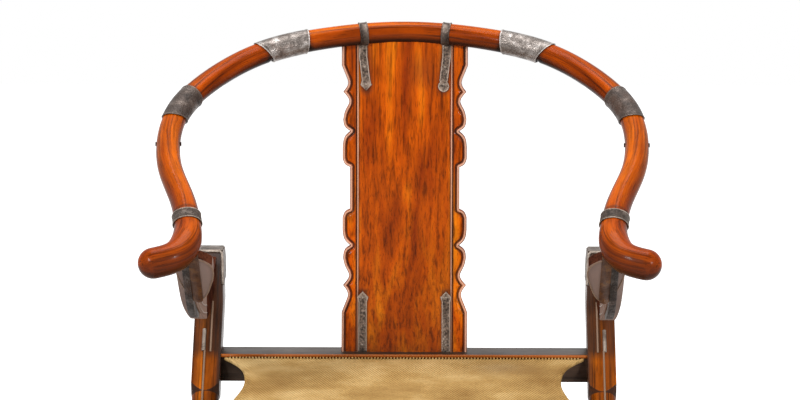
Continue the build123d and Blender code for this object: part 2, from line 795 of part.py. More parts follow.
def seat_mat():
    """Woven mat stretched between the seat rails, drawn in at the sides."""
    back = rail_depth / 2 + mat_gap
    front = seat_span - back
    middle = seat_span / 2
    top = seat_height - mat_drop
    upper = ThreePointArc(side(back, top), side(middle, top - mat_sag), side(front, top))
    low = top - mat_thickness
    lower = ThreePointArc(side(front, low), side(middle, low - mat_sag), side(back, low))
    face = make_face(upper + Line(upper @ 1, lower @ 0) + lower + Line(lower @ 1, upper @ 0))
    sheet = across(face, -mat_half_width, 2 * mat_half_width)
    edge = [
        (mat_half_width - drawn, middle_ahead - back - share * (front - back))
        for share, drawn in mat_draw_in
    ]
    right = Spline(*edge)
    left = Spline(*[(-x, y) for x, y in reversed(edge)])
    plan = make_face(right + Line(right @ 1, left @ 0) + left + Line(left @ 1, right @ 0))
    return sheet & extrude(plan, amount=seat_height)


# ---------------------------------------------------------------- the chair


def chair():
    """Every piece, by node name."""
    pieces = {}
    leg = front_leg()
    rail = arm_rail()
    post = arm_post(leg, rail)
    crest = crest_rail_center()
    pieces.update(pair("front_leg", leg))
    pieces.update(pair("rear_leg", rear_leg()))
    pieces.update(pair("pivot_pin", pivot_pin()))
    pieces.update(pair("pivot_washers", pivot_washers()))
    pieces["rear_seat_rail"] = seat_rail(0.0, 1, front_leg_inner)
    pieces["front_seat_rail"] = seat_rail(seat_span, -1, rear_leg_outer)
    pieces["front_sledge"] = sledge(front_foot_ahead)
    pieces["rear_sledge"] = sledge(rear_foot_ahead)
    pieces["front_foot_plates"] = both(foot_plate(front_leg_half_span, front_leg_foot, 1))
    pieces["rear_foot_plates"] = both(foot_plate(rear_leg_half_span, rear_leg_foot, -1))
    pieces["crest_rail_center"] = crest
    pieces.update(pair("crest_rail", crest_rail()))
    pieces.update(pair("arm_rail", rail))
    pieces.update(pair("inner_sleeve", sleeve(inner_sleeve_at, inner_sleeve_length, inner_sleeve_slants)))
    pieces.update(pair("outer_sleeve", sleeve(outer_sleeve_at, outer_sleeve_length, outer_sleeve_slants)))
    pieces.update(pair("arm_band", arm_band(post)))
    pieces["arm_studs"] = both(arm_studs(rail))
    pieces.update(pair("arm_post", post))
    pieces.update(pair("post_strap", post_strap(rail)))
    pieces.update(pair("arm_brace", arm_brace(post, rail)))
    pieces.update(pair("elbow_mount", elbow_mount()))
    pieces.update(pair("leg_strap", leg_strap()))
    pieces["splat_panel"] = splat_panel(crest)
    pieces.update(pair("splat_flange", splat_flange(crest)))
    pieces.update(pair("crest_strap", crest_strap()))
    pieces.update(pair("splat_strap", splat_strap()))
    pieces["strap_nails"] = both(strap_nails())
    pieces["footrest_board"] = footrest_board()
    pieces.update(pair("footrest_side", footrest_side()))
    pieces.update(pair("footrest_foot", footrest_foot()))
    pieces["footrest_apron"] = footrest_apron(
        footrest_front_ahead - 2 * footrest_apron_thickness
    )
    pieces["footrest_batten"] = footrest_apron(footrest_back_ahead)
    pieces["footrest_pins"] = both(footrest_pin_rod())
    pieces["footrest_plate"] = footrest_plate()
    pieces["footrest_corners"] = both(footrest_corner())
    pieces["seat_mat"] = seat_mat()
    return pieces


os.makedirs("parts", exist_ok=True)
for name, piece in chair().items():
    export_step(piece, "parts/" + name + ".step")
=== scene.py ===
import bpy
import bmesh
import json
import math
import numpy as np
from mathutils import Matrix, Vector


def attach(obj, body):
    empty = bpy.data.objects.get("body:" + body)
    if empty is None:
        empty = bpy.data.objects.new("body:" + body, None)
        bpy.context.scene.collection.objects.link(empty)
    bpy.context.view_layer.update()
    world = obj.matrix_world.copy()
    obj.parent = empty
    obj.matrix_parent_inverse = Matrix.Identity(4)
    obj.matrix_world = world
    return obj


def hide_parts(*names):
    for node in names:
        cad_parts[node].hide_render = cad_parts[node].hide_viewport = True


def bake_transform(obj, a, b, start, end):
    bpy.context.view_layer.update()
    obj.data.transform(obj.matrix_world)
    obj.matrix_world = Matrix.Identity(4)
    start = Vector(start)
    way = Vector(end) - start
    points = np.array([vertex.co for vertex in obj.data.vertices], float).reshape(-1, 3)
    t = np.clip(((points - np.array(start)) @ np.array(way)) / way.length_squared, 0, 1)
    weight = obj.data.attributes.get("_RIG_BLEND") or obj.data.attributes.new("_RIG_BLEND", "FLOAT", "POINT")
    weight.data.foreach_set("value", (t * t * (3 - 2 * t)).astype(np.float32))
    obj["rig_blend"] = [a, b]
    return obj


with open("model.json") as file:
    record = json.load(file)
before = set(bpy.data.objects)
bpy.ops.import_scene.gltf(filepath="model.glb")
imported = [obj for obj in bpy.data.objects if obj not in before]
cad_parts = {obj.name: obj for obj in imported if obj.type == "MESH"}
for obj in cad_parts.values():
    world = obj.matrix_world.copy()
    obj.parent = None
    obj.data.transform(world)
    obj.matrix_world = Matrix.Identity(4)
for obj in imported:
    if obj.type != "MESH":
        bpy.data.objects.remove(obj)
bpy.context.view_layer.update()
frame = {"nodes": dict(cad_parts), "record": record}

scene = bpy.context.scene

# All sizes are in metres. The sitter faces -Y, and +Z is up. "ahead" is a distance in front of the rear seat
# rail's centre line, "rise" a height above the seat rails, "span" a distance sideways from the chair's middle.
MIDDLE_AHEAD = 0.239994         # the frame's origin, ahead of the rear seat rail
SEAT_TOP = 0.500                # top of the seat rails
SEAT_SPAN = 0.450               # between the centre lines of the two seat rails
RIGHT, UP, AWAY = Vector((1, 0, 0)), Vector((0, 0, 1)), Vector((0, 1, 0))


def at(span, ahead, z):
    """A place from its distance sideways, its distance ahead of the rear seat rail and its height."""
    return Vector((span, MIDDLE_AHEAD - ahead, z))


# ---------------------------------------------------------------- camera

def aim_camera(target, distance, turn, lift, lens):
    """Camera that looks at target from in front, turned to the chair's left and lifted, in degrees."""
    turn, lift = math.radians(turn), math.radians(lift)
    away = Vector((math.sin(turn) * math.cos(lift), -math.cos(turn) * math.cos(lift), math.sin(lift)))
    data = bpy.data.cameras.new("front_camera")
    data.lens = lens
    data.sensor_width = 36.0
    camera = bpy.data.objects.new("front_camera", data)
    camera.location = target + away * distance
    camera.rotation_euler = (-away).to_track_quat("-Z", "Y").to_euler()
    scene.collection.objects.link(camera)
    scene.camera = camera


aim_camera(at(-0.006, 0.0, 0.720), distance=4.5, turn=0.9, lift=10.8, lens=142.6)


# ---------------------------------------------------------------- nodes

def fill(tree, node, sockets):
    """Fills a node's sockets, by name or number: each is linked to another socket or given a plain value."""
    for key, value in sockets.items():
        socket = node.inputs[key]
        if isinstance(value, bpy.types.NodeSocket):
            tree.links.new(value, socket)
        else:
            socket.default_value = (*value, 1.0) if socket.type == "RGBA" else value


def add_node(tree, kind, sockets=None, **settings):
    """A new node with its settings and its sockets filled."""
    node = tree.nodes.new(kind)
    for name, value in settings.items():
        setattr(node, name, value)
    fill(tree, node, sockets or {})
    return node


def own_attribute(tree, name, output="Vector"):
    return add_node(tree, "ShaderNodeAttribute", attribute_name=name).outputs[output]


def object_place(tree):
    return add_node(tree, "ShaderNodeTexCoord").outputs["Object"]


def stretched(tree, place, scale):
    return add_node(tree, "ShaderNodeMapping", {"Vector": place, "Scale": scale}).outputs[0]


def noise(tree, place, scale=1.0, detail=3.0, roughness=0.5, distortion=0.0):
    return add_node(tree, "ShaderNodeTexNoise", {
        "Vector": place, "Scale": scale, "Detail": detail, "Roughness": roughness, "Distortion": distortion,
    }).outputs[0]


def grain_noise(tree, grain, along, across, **kind):
    """Noise drawn out along the grain, from its scale along it and its scale across it."""
    return noise(tree, stretched(tree, grain, (along, across, across)), **kind)


def cells(tree, place, scale):
    return add_node(tree, "ShaderNodeTexVoronoi", {"Vector": place, "Scale": scale}).outputs["Distance"]


def ramp(tree, factor, stops):
    """Colour ramp through (place, colour) stops; a number stands for a grey."""
    node = add_node(tree, "ShaderNodeValToRGB", {0: factor})
    elements = node.color_ramp.elements
    for index, (place, colour) in enumerate(stops):
        element = elements[index] if index < 2 else elements.new(place)
        element.position = place
        element.color = (*(colour if isinstance(colour, tuple) else (colour,) * 3), 1.0)
    return node.outputs[0]


def mixed(tree, factor, first, second, mode="MIX"):
    """Two colours mixed; each of the three may be a socket or a plain value."""
    sockets = {0: factor, 6: first, 7: second}
    return add_node(tree, "ShaderNodeMix", sockets, data_type="RGBA", blend_type=mode).outputs[2]


def darkened(tree, body, shade):
    """A colour multiplied by a shade, where 1 leaves it as it is."""
    return mixed(tree, 1.0, body, shade, "MULTIPLY")


def arithmetic(tree, operation, first, second=0.0):
    return add_node(tree, "ShaderNodeMath", {0: first, 1: second}, operation=operation).outputs[0]


def relief_bump(tree, shader, height, distance, strength=1.0, under=None):
    """Bump on the shader, over the one that is given as under."""
    bump = add_node(tree, "ShaderNodeBump", {"Strength": strength, "Distance": distance, "Height": height})
    if under is not None:
        fill(tree, bump, {"Normal": under})
    fill(tree, shader, {"Normal": bump.outputs[0]})
    return bump.outputs[0]


# ---------------------------------------------------------------- floor, backdrop and lamps

FLOOR_HALF = 6.0
SHADE_REACH = (0.5, 1.8)        # the floor's own glow rises between these distances from the chair
SHADE_GLOW = (0.45, 1.0)
FLOOR_GREY = (0.80, 0.80, 0.80)


def seen_directly(tree):
    """1 for what the camera, a reflection or a glass sees, 0 for light that only falls on things."""
    rays = add_node(tree, "ShaderNodeLightPath").outputs
    seen = arithmetic(tree, "MAXIMUM", rays["Is Camera Ray"], rays["Is Glossy Ray"])
    return arithmetic(tree, "MAXIMUM", seen, rays["Is Transmission Ray"])


def emptied(owner):
    """The owner's node tree, with nothing in it yet."""
    owner.use_nodes = True
    owner.node_tree.nodes.clear()
    return owner.node_tree


def plain_white(name):
    """Pale floor that reads as white to the camera and in gloss, and keeps the shadow near the feet."""
    material = bpy.data.materials.new(name)
    tree = emptied(material)
    lit = add_node(tree, "ShaderNodeBsdfDiffuse", {"Color": FLOOR_GREY})
    reach = add_node(tree, "ShaderNodeVectorMath", {0: object_place(tree)}, operation="LENGTH")
    fade = add_node(tree, "ShaderNodeMapRange", {
        "Value": reach.outputs["Value"], "From Min": SHADE_REACH[0], "From Max": SHADE_REACH[1],
        "To Min": SHADE_GLOW[0], "To Max": SHADE_GLOW[1],
    })
    strength = arithmetic(tree, "MULTIPLY", fade.outputs["Result"], seen_directly(tree))
    glow = add_node(tree, "ShaderNodeEmission", {"Strength": strength})
    both = add_node(tree, "ShaderNodeAddShader", {0: lit.outputs[0], 1: glow.outputs[0]})
    add_node(tree, "ShaderNodeOutputMaterial", {"Surface": both.outputs[0]})
    return material


def studio_floor():
    corners = [(x * FLOOR_HALF, y * FLOOR_HALF, 0) for x, y in ((-1, -1), (1, -1), (1, 1), (-1, 1))]
    mesh = bpy.data.meshes.new("studio_floor")
    mesh.from_pydata(corners, [], [(0, 1, 2, 3)])
    mesh.materials.append(plain_white("pale_floor"))
    plane = bpy.data.objects.new("studio_floor", mesh)
    scene.collection.objects.link(plane)


def area_lamp(name, place, aim, size, power):
    data = bpy.data.lights.new(name, "AREA")
    data.shape = "RECTANGLE"
    data.size, data.size_y = size
    data.energy = power
    lamp = bpy.data.objects.new(name, data)
    lamp.location = place
    lamp.rotation_euler = (Vector(aim) - Vector(place)).to_track_quat("-Z", "Y").to_euler()
    scene.collection.objects.link(lamp)


def white_world(name, lit, strength):
    """World that shows as white behind the object and in gloss, and lights it softly."""
    scene.world = bpy.data.worlds.new(name)
    tree = emptied(scene.world)
    soft = add_node(tree, "ShaderNodeBackground", {"Color": (lit, lit, lit), "Strength": strength})
    white = add_node(tree, "ShaderNodeBackground", {"Color": (1.0, 1.0, 1.0)})
    sockets = {0: seen_directly(tree), 1: soft.outputs[0], 2: white.outputs[0]}
    mix = add_node(tree, "ShaderNodeMixShader", sockets)
    add_node(tree, "ShaderNodeOutputWorld", {"Surface": mix.outputs[0]})


studio_floor()
area_lamp("key_softbox", place=(-1.6, -2.2, 2.4), aim=(0, 0.1, 0.6), size=(0.55, 0.55), power=72)
area_lamp("fill_softbox", place=(1.9, -2.0, 1.8), aim=(0, 0.1, 0.6), size=(0.40, 0.40), power=45)
area_lamp("top_softbox", place=(0.0, 0.4, 2.8), aim=(0, 0.1, 0.5), size=(1.6, 1.2), power=45)
white_world("studio", lit=0.8, strength=0.35)
scene.view_settings.view_transform = "Standard"


# ---------------------------------------------------------------- finishes

GRIME_AND_SHADE_COLOUR = (0.018, 0.011, 0.008)            # dark colour for old grime, and for painted shade in the wood's corners, recesses and undersides
RUST = (0.085, 0.042, 0.026)
# Colour of the painted shadow on the woven mat
MAT_SHADOW = (0.20, 0.115, 0.05)
MAT_TANS = [(0.30, (0.34, 0.19, 0.060)), (0.50, (0.49, 0.30, 0.105)), (0.72, (0.70, 0.48, 0.21))]
WORN_IRON_GAIN = 1.7                    # how much paler rubbed iron is than its palest mottle


def start_finish(name):
    material = bpy.data.materials.new(name)
    material.use_nodes = True
    return material, material.node_tree, material.node_tree.nodes["Principled BSDF"]


def old_hardwood(name, dark, middle, bright, rubbed_and_sheen, veins=0.75, gloss=0.16, shine=0.06, coat=0.03):
    """Polished old hardwood: broad light and dark zones, fine dark figure and pores along the grain."""
    material, tree, shader = start_finish(name)
    grain = own_attribute(tree, "grain")
    zones = grain_noise(tree, grain, 2.6, 26, detail=3, roughness=0.55, distortion=0.5)
    body = ramp(tree, zones, [(0.28, dark), (0.48, middle), (0.68, bright)])
    mottle = grain_noise(tree, grain, 24, 60, detail=4, roughness=0.6)
    body = darkened(tree, body, ramp(tree, mottle, [(0.30, 0.66), (0.70, 1.0)]))
    line = grain_noise(tree, grain, 4.5, 260, detail=3, roughness=0.62, distortion=0.35)
    body = darkened(tree, body, ramp(tree, line, [(0.34, 1.0 - veins), (0.50, 0.92), (0.62, 1.0)]))
    pore = grain_noise(tree, grain, 38, 900, detail=2)
    pore_shade = ramp(tree, pore, [(0.30, 0.45), (0.42, 1.0)])
    body = darkened(tree, body, pore_shade)
    # Paler where the wood is worn, and where a painted highlight or sheen is laid on
    body = mixed(tree, own_attribute(tree, "worn", "Fac"), body, rubbed_and_sheen)
    # Darker with old grime, and with painted shade in corners, recesses, undersides and beside other parts
    body = mixed(tree, own_attribute(tree, "grime_and_shade", "Fac"), body, GRIME_AND_SHADE_COLOUR)
    patches = grain_noise(tree, grain, 14, 40, detail=4, roughness=0.6)
    fill(tree, shader, {
        "Base Color": body, "Roughness": ramp(tree, patches, [(0.3, gloss), (0.7, gloss + 0.16)]),
        "Specular IOR Level": shine, "Coat Weight": coat, "Coat Roughness": 0.08,
    })
    waves = grain_noise(tree, grain, 16, 34, detail=2)
    under = relief_bump(tree, shader, waves, distance=0.0011, strength=0.7)
    relief_bump(tree, shader, pore_shade, distance=0.00012, strength=0.5, under=under)
    return material


def wrought_iron(name, dark, middle, pale, rough=0.42, metallic=0.35, pits=0.0005, shine=0.3, stipple=0.0):
    """Hammered grey-brown iron: mottled, stippled, pitted, and pale where it is rubbed."""
    material, tree, shader = start_finish(name)
    place = object_place(tree)
    mottle = noise(tree, place, scale=70, detail=6, roughness=0.62, distortion=0.3)
    body = ramp(tree, mottle, [(0.30, dark), (0.50, middle), (0.72, pale)])
    rust = noise(tree, place, scale=26, detail=4, roughness=0.6)
    body = mixed(tree, ramp(tree, rust, [(0.52, 0.0), (0.72, 0.5)]), body, RUST)
    punched = noise(tree, place, scale=330, detail=2, roughness=0.6)
    dents = ramp(tree, punched, [(0.36, 1.0 - stipple), (0.50, 0.9), (0.66, 1.0 + stipple)])
    body = darkened(tree, body, dents)
    body = mixed(tree, own_attribute(tree, "worn", "Fac"), body, tuple(WORN_IRON_GAIN * c for c in pale))
    fill(tree, shader, {
        "Base Color": body, "Roughness": ramp(tree, mottle, [(0.30, rough + 0.16), (0.70, rough - 0.08)]),
        "Metallic": metallic, "Specular IOR Level": shine,
    })
    under = relief_bump(tree, shader, mottle, distance=0.0009, strength=0.8)
    relief_bump(tree, shader, cells(tree, place, 420), distance=pits, strength=0.8, under=under)
    return material


def thread_wave(tree, across, wander, pitch, sway):
    """Rise and fall of one set of threads, which wander a little from their straight line."""
    turns = arithmetic(tree, "MULTIPLY", across, math.tau / pitch)
    turns = arithmetic(tree, "ADD", turns, arithmetic(tree, "MULTIPLY", wander, sway * math.pi))
    return arithmetic(tree, "SINE", turns)


def woven_mat(name):
    """Fine tan weave: two crossing threads, with soft stains and paler rubbed places."""
    material, tree, shader = start_finish(name)
    place = own_attribute(tree, "thread")
    soft = noise(tree, stretched(tree, place, (9, 9, 9)), detail=4, roughness=0.6)
    wander = noise(tree, stretched(tree, place, (30, 6, 30)), detail=2)
    split = add_node(tree, "ShaderNodeSeparateXYZ", {0: place})
    weave = arithmetic(
        tree, "MULTIPLY",
        thread_wave(tree, split.outputs["X"], wander, pitch=0.0042, sway=0.9),
        thread_wave(tree, split.outputs["Y"], wander, pitch=0.0110, sway=0.5),
    )
    weave = arithmetic(tree, "ADD", arithmetic(tree, "MULTIPLY", weave, 0.5), 0.5)
    body = darkened(
        tree, ramp(tree, soft, MAT_TANS), ramp(tree, weave, [(0.0, 0.46), (0.5, 0.88), (1.0, 1.0)])
    )
    fleck = noise(tree, stretched(tree, place, (240, 420, 240)), detail=3, roughness=0.7)
    body = darkened(tree, body, ramp(tree, fleck, [(0.30, 0.74), (0.55, 1.0)]))
    # Darkened where a painted shadow is laid on
    body = mixed(tree, own_attribute(tree, "grime_and_shade", "Fac"), body, MAT_SHADOW)
    fill(tree, shader, {"Base Color": body, "Roughness": 0.85, "Specular IOR Level": 0.02})
    relief_bump(tree, shader, weave, distance=0.0006, strength=0.9)
    return material


rail_wood = old_hardwood(
    "orange_rail_wood", dark=(0.085, 0.009, 0.001), middle=(0.38, 0.054, 0.001), bright=(0.66, 0.135, 0.002),
    rubbed_and_sheen=(0.42, 0.20, 0.12), veins=0.62, gloss=0.18, shine=0.03,
)
# Its rubbed colour is also the painted highlight along the splat's beads
splat_wood = old_hardwood(
    "figured_splat_wood", dark=(0.30, 0.036, 0.001), middle=(0.62, 0.098, 0.001), bright=(0.98, 0.255, 0.006),
    rubbed_and_sheen=(0.62, 0.36, 0.25), veins=0.6,
)
leg_wood = old_hardwood(
    "worn_leg_wood", dark=(0.070, 0.014, 0.002), middle=(0.32, 0.070, 0.003), bright=(0.68, 0.175, 0.006),
    rubbed_and_sheen=(0.36, 0.22, 0.16), veins=0.8, gloss=0.22,
)
# The posts in dark wood as painted shade under the arms; its rubbed colour is painted sheen on the leaf and the
# neck
shaded_post_wood = old_hardwood(
    "shaded_post_finish", dark=(0.030, 0.011, 0.007), middle=(0.070, 0.022, 0.013), bright=(0.14, 0.043, 0.022),
    rubbed_and_sheen=(0.30, 0.22, 0.19), veins=0.5, gloss=0.5, shine=0.0, coat=0.0,
)
# The seat rails' wood darkened as painted shade over a dark patina; its rubbed colour is the painted light on
# their beads
shaded_seat_rail_wood = old_hardwood(
    "shaded_seat_rail_finish", dark=(0.020, 0.012, 0.008), middle=(0.046, 0.028, 0.018),
    bright=(0.085, 0.050, 0.033), rubbed_and_sheen=(0.30, 0.075, 0.006), veins=0.4, gloss=0.34, shine=0.16,
)
# Pale wood for the fine beads, rims and arrises, as the painted highlights along them
highlight_bead_wood = old_hardwood(
    "pale_highlight_bead_finish", dark=(0.20, 0.11, 0.06), middle=(0.34, 0.22, 0.15), bright=(0.50, 0.37, 0.28),
    rubbed_and_sheen=(0.5, 0.4, 0.3), veins=0.4, gloss=0.3,
)
grey_iron = wrought_iron(
    "grey_brown_iron", dark=(0.030, 0.021, 0.015), middle=(0.095, 0.070, 0.054), pale=(0.20, 0.16, 0.135),
)
strap_iron = wrought_iron(
    "stippled_strap_iron", dark=(0.030, 0.019, 0.013), middle=(0.105, 0.074, 0.055), pale=(0.20, 0.155, 0.125),
    rough=0.46, pits=0.0006, shine=0.2, stipple=0.75,
)
loop_iron = wrought_iron(
    "dark_loop_iron", dark=(0.014, 0.009, 0.007), middle=(0.042, 0.028, 0.021), pale=(0.11, 0.085, 0.070),
    rough=0.44, pits=0.0006, shine=0.2, stipple=0.5,
)
sleeve_iron = wrought_iron(
    "bright_sleeve_iron", dark=(0.045, 0.035, 0.029), middle=(0.17, 0.145, 0.13), pale=(0.40, 0.37, 0.35),
    rough=0.34, metallic=0.55,
)
outer_iron = wrought_iron(
    "brown_sleeve_iron", dark=(0.014, 0.008, 0.005), middle=(0.042, 0.026, 0.019), pale=(0.105, 0.076, 0.060),
    rough=0.40,
)
worn_iron = wrought_iron(
    "pale_worn_iron", dark=(0.13, 0.10, 0.08), middle=(0.27, 0.22, 0.18), pale=(0.42, 0.36, 0.30),
    metallic=0.3, pits=0.0002,
)
brown_iron = wrought_iron(
    "brown_polished_iron", dark=(0.030, 0.011, 0.004), middle=(0.085, 0.032, 0.011), pale=(0.20, 0.090, 0.028),
    rough=0.28, metallic=0.1, pits=0.0002, shine=0.1,
)
rough_iron = wrought_iron(
    "dark_rough_iron", dark=(0.010, 0.007, 0.006), middle=(0.030, 0.022, 0.018), pale=(0.10, 0.08, 0.07),
    rough=0.55, metallic=0.5, pits=0.0010,
)
mat_weave = woven_mat("tan_woven_mat")
lacing_cord = woven_mat("tan_lacing_cord")


# ---------------------------------------------------------------- tools for the pieces

HANDS = (("_left", -1), ("_right", 1))
IRON_SLOT, WOOD_SLOT = "wrought_iron", "huanghuali_wood"
body_of = {node: body for body, nodes in frame["record"]["behaviour"]["bodies"].items() for node in nodes}
slot_of = {part["node"]: part["material_slot"] for part in frame["record"]["subparts"]}


def merged_copy(node):
    """A node's mesh as one closed shell, with its flat faces whole again."""
    shell = bmesh.new()
    shell.from_mesh(frame["nodes"][node].data)
    bmesh.ops.remove_doubles(shell, verts=shell.verts, dist=0.00001)
    bmesh.ops.dissolve_limit(shell, angle_limit=math.radians(0.5), verts=shell.verts, edges=shell.edges)
    bmesh.ops.recalc_face_normals(shell, faces=shell.faces)
    return shell


def mirror_image(shell):
    """The same shell on the chair's other side."""
    twin = shell.copy()
    bmesh.ops.scale(twin, vec=(-1, 1, 1), verts=twin.verts)
    bmesh.ops.reverse_faces(twin, faces=twin.faces)
    return twin


def soften(shell, width, segments=2, sharp=32.0):
    """Rounds the sharp edges, and gives back the rounded faces."""
    edges = [e for e in shell.edges if e.is_manifold and e.calc_face_angle() > math.radians(sharp)]
    done = bmesh.ops.bevel(
        shell, geom=edges, offset=width, segments=segments, profile=0.5, affect="EDGES", clamp_overlap=True
    )
    return set(done["faces"])


def cut_across(shell, place, normal):
    """Cuts new edges into the shell where a plane crosses it."""
    bmesh.ops.bisect_plane(
        shell, geom=shell.verts[:] + shell.edges[:] + shell.faces[:], plane_co=place, plane_no=normal
    )


def turns_round(count):
    """Angles of evenly spaced places round a circle."""
    return [math.tau * k / count for k in range(count)]


def shell_through(rings, round_again=False):
    """Closed shell through rings of places, capped at both ends or joined from the last ring to the first."""
    shell = bmesh.new()
    loops = [[shell.verts.new(place) for place in ring] for ring in rings]
    for ring, after in zip(loops, loops[1:] + loops[:1] if round_again else loops[1:]):
        for k in range(len(ring)):
            n = (k + 1) % len(ring)
            shell.faces.new([ring[k], ring[n], after[n], after[k]])
    if not round_again:
        shell.faces.new(loops[0])
        shell.faces.new(loops[-1])
    bmesh.ops.recalc_face_normals(shell, faces=shell.faces)
    return shell


def write_points(piece, name, values):
    """Gives each of the piece's points its own number or vector."""
    values = np.asarray(values, "f")
    kind, field = ("FLOAT_VECTOR", "vector") if values.ndim == 2 else ("FLOAT", "value")
    piece.data.attributes.new(name, kind, "POINT").data.foreach_set(field, values.ravel())


def points_of(piece):
    flat = np.empty(len(piece.data.vertices) * 3)
    piece.data.vertices.foreach_get("co", flat)
    return flat.reshape(-1, 3)


def mark_worn(shell, *marked):
    """Marks faces with wear and with painted sheen, each group by its own amount."""
    marks = shell.loops.layers.float.new("worn")
    for faces, amount in marked:
        for face in faces:
            if face.is_valid:
                for loop in face.loops:
                    loop[marks] = amount


def placed(name, mesh, body, stands_for, sharp):
    """A mesh as a piece that rides on a body and may stand for nodes."""
    mesh.shade_smooth()
    mesh.set_sharp_from_angle(angle=math.radians(sharp))
    piece = bpy.data.objects.new(name, mesh)
    scene.collection.objects.link(piece)
    if body:
        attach(piece, body)
    if stands_for:
        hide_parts(*stands_for)
    return piece


def make_piece(name, shell, finish, body, stands_for=(), slot=IRON_SLOT, sharp=38.0, worn=(), worn_by=0.0):
    """Turns a shell into a piece, with some faces worn."""
    if worn_by:
        mark_worn(shell, (worn, worn_by))
    mesh = bpy.data.meshes.new(name)
    shell.to_mesh(mesh)
    shell.free()
    for layer in [a.name for a in mesh.attributes if a.name.startswith("custom_normal")]:
        mesh.attributes.remove(mesh.attributes[layer])
    mesh.materials.clear()
    mesh.materials.append(finish)
    return placed(name, mesh, body, stands_for, sharp)


def piece_for(node, name, shell, finish, **looks):
    """A piece that stands for one node, on its body."""
    return make_piece(name, shell, finish, body_of[node], (node,), slot_of[node], **looks)


def lay_grain(piece, along, across, start=Vector()):
    """Gives the wood its own coordinates: along the grain and the two ways across it."""
    along = along.normalized()
    axes = np.array([along, across, along.cross(across)])
    write_points(piece, "grain", (points_of(piece) - np.array(start)) @ axes.T)


def wooden_copy(node, finish, along, across, edge=0.0012, worn_by=0.25, start=Vector()):
    """A node in wood, with softened edges and its grain laid along it."""
    shell = merged_copy(node)
    piece = piece_for(node, node + "_wood", shell, finish, worn=soften(shell, edge), worn_by=worn_by)
    lay_grain(piece, along, across, start)
    return piece


def iron_copy(node, finish, edge=0.0004, segments=1, worn_by=0.8):
    """A node in iron, with rubbed edges."""
    shell = merged_copy(node)
    return piece_for(node, node + "_iron", shell, finish, worn=soften(shell, edge, segments), worn_by=worn_by)


def spaced(start, end, step):
    """Even steps from start to end, each as near to step as fits."""
    count = max(1, round((end - start) / step))
    return [start + (end - start) * k / count for k in range(count + 1)]


def smooth_line(points, count):
    """A curve through all the points, bending as a thin batten would, as count + 1 places."""
    knots = np.array([tuple(p) for p in points], float)
    spots = np.concatenate([[0.0], np.cumsum(np.linalg.norm(np.diff(knots, axis=0), axis=1))])
    gaps = np.diff(spots)[:, None]
    last = len(spots) - 1
    terms, loads = np.eye(last + 1), np.zeros_like(knots)
    for i in range(1, last):
        terms[i, i - 1:i + 2] = gaps[i - 1, 0], 2 * (gaps[i - 1, 0] + gaps[i, 0]), gaps[i, 0]
        loads[i] = 6 * ((knots[i + 1] - knots[i]) / gaps[i] - (knots[i] - knots[i - 1]) / gaps[i - 1])
    bends = np.linalg.solve(terms, loads)
    places = []
    for spot in np.linspace(0.0, spots[-1], count + 1):
        i = min(max(int(np.searchsorted(spots, spot)) - 1, 0), last - 1)
        to_come, gone, gap = spots[i + 1] - spot, spot - spots[i], gaps[i, 0]
        places.append(
            (bends[i] * to_come**3 + bends[i + 1] * gone**3) / (6 * gap)
            + (knots[i] / gap - bends[i] * gap / 6) * to_come
            + (knots[i + 1] / gap - bends[i + 1] * gap / 6) * gone
        )
    return np.array(places)


def distance_to_line(points, line):
    """Shortest distance from each point to a line of straight runs, all in two dimensions."""
    best = np.full(len(points), np.inf)
    for a, b in zip(line[:-1], line[1:]):
        run = b - a
        length = max(float(run @ run), 1e-14)
        share = np.clip(((points - a) @ run) / length, 0.0, 1.0)
        best = np.minimum(best, np.linalg.norm(points - (a + share[:, None] * run), axis=1))
    return best


def soft_patch(u, v, middle, reach):
    """How strong a soft round patch is at each point: 1 in its middle."""
    return np.exp(-((u - middle[0]) / reach[0]) ** 2 - ((v - middle[1]) / reach[1]) ** 2)


def board_in_rows(rows, left, right, steps, front, back, place, rim=None, middles=1):
    """Closed board laid out in rows, each from left(v) to right(v).

    A row has points at the given steps in from both of its ends, and some middles between them. front and
    back give the two faces' heights at a point from its distance to the rim, and place sets it in space.
    """
    grid = []
    for v in rows:
        low, high = left(v), right(v)
        middle = (low + high) / 2
        field = high - low - 2 * steps[-1]
        inner = [low + steps[-1] + field * k / (middles + 1) for k in range(1, middles + 1)]
        if field < 0:
            inner = [middle] * middles
        us = [min(low + s, middle) for s in steps] + inner + [max(high - s, middle) for s in reversed(steps)]
        grid.append([(u, v) for u in us])
    across, flat = len(grid[0]), np.array(grid).reshape(-1, 2)
    if rim is None:
        edge = [(left(v), v) for v in rows] + [(right(v), v) for v in reversed(rows)]
        rim = np.array(edge + edge[:1])
    depth = distance_to_line(flat, rim)
    shell = bmesh.new()
    faces = []
    for height in (front, back):
        faces.append([shell.verts.new(place(u, v, height(d, u, v))) for (u, v), d in zip(flat, depth)])
    last = len(rows) - 1
    for r in range(last):
        for c in range(across - 1):
            i, j, k, m = r * across + c, r * across + c + 1, (r + 1) * across + c + 1, (r + 1) * across + c
            shell.faces.new([faces[0][q] for q in (i, j, k, m)])
            shell.faces.new([faces[1][q] for q in (m, k, j, i)])
    loop = [(0, c) for c in range(across)] + [(r, across - 1) for r in range(1, last + 1)]
    loop += [(last, c) for c in range(across - 2, -1, -1)] + [(r, 0) for r in range(last - 1, 0, -1)]
    ring = [r * across + c for r, c in loop]
    for i, j in zip(ring, ring[1:] + ring[:1]):
        shell.faces.new([faces[0][j], faces[0][i], faces[1][i], faces[1][j]])
    bmesh.ops.remove_doubles(shell, verts=shell.verts, dist=0.000002)
    bmesh.ops.recalc_face_normals(shell, faces=shell.faces)
    return shell


# ---------------------------------------------------------------- node trees for wires, nail heads and stitches

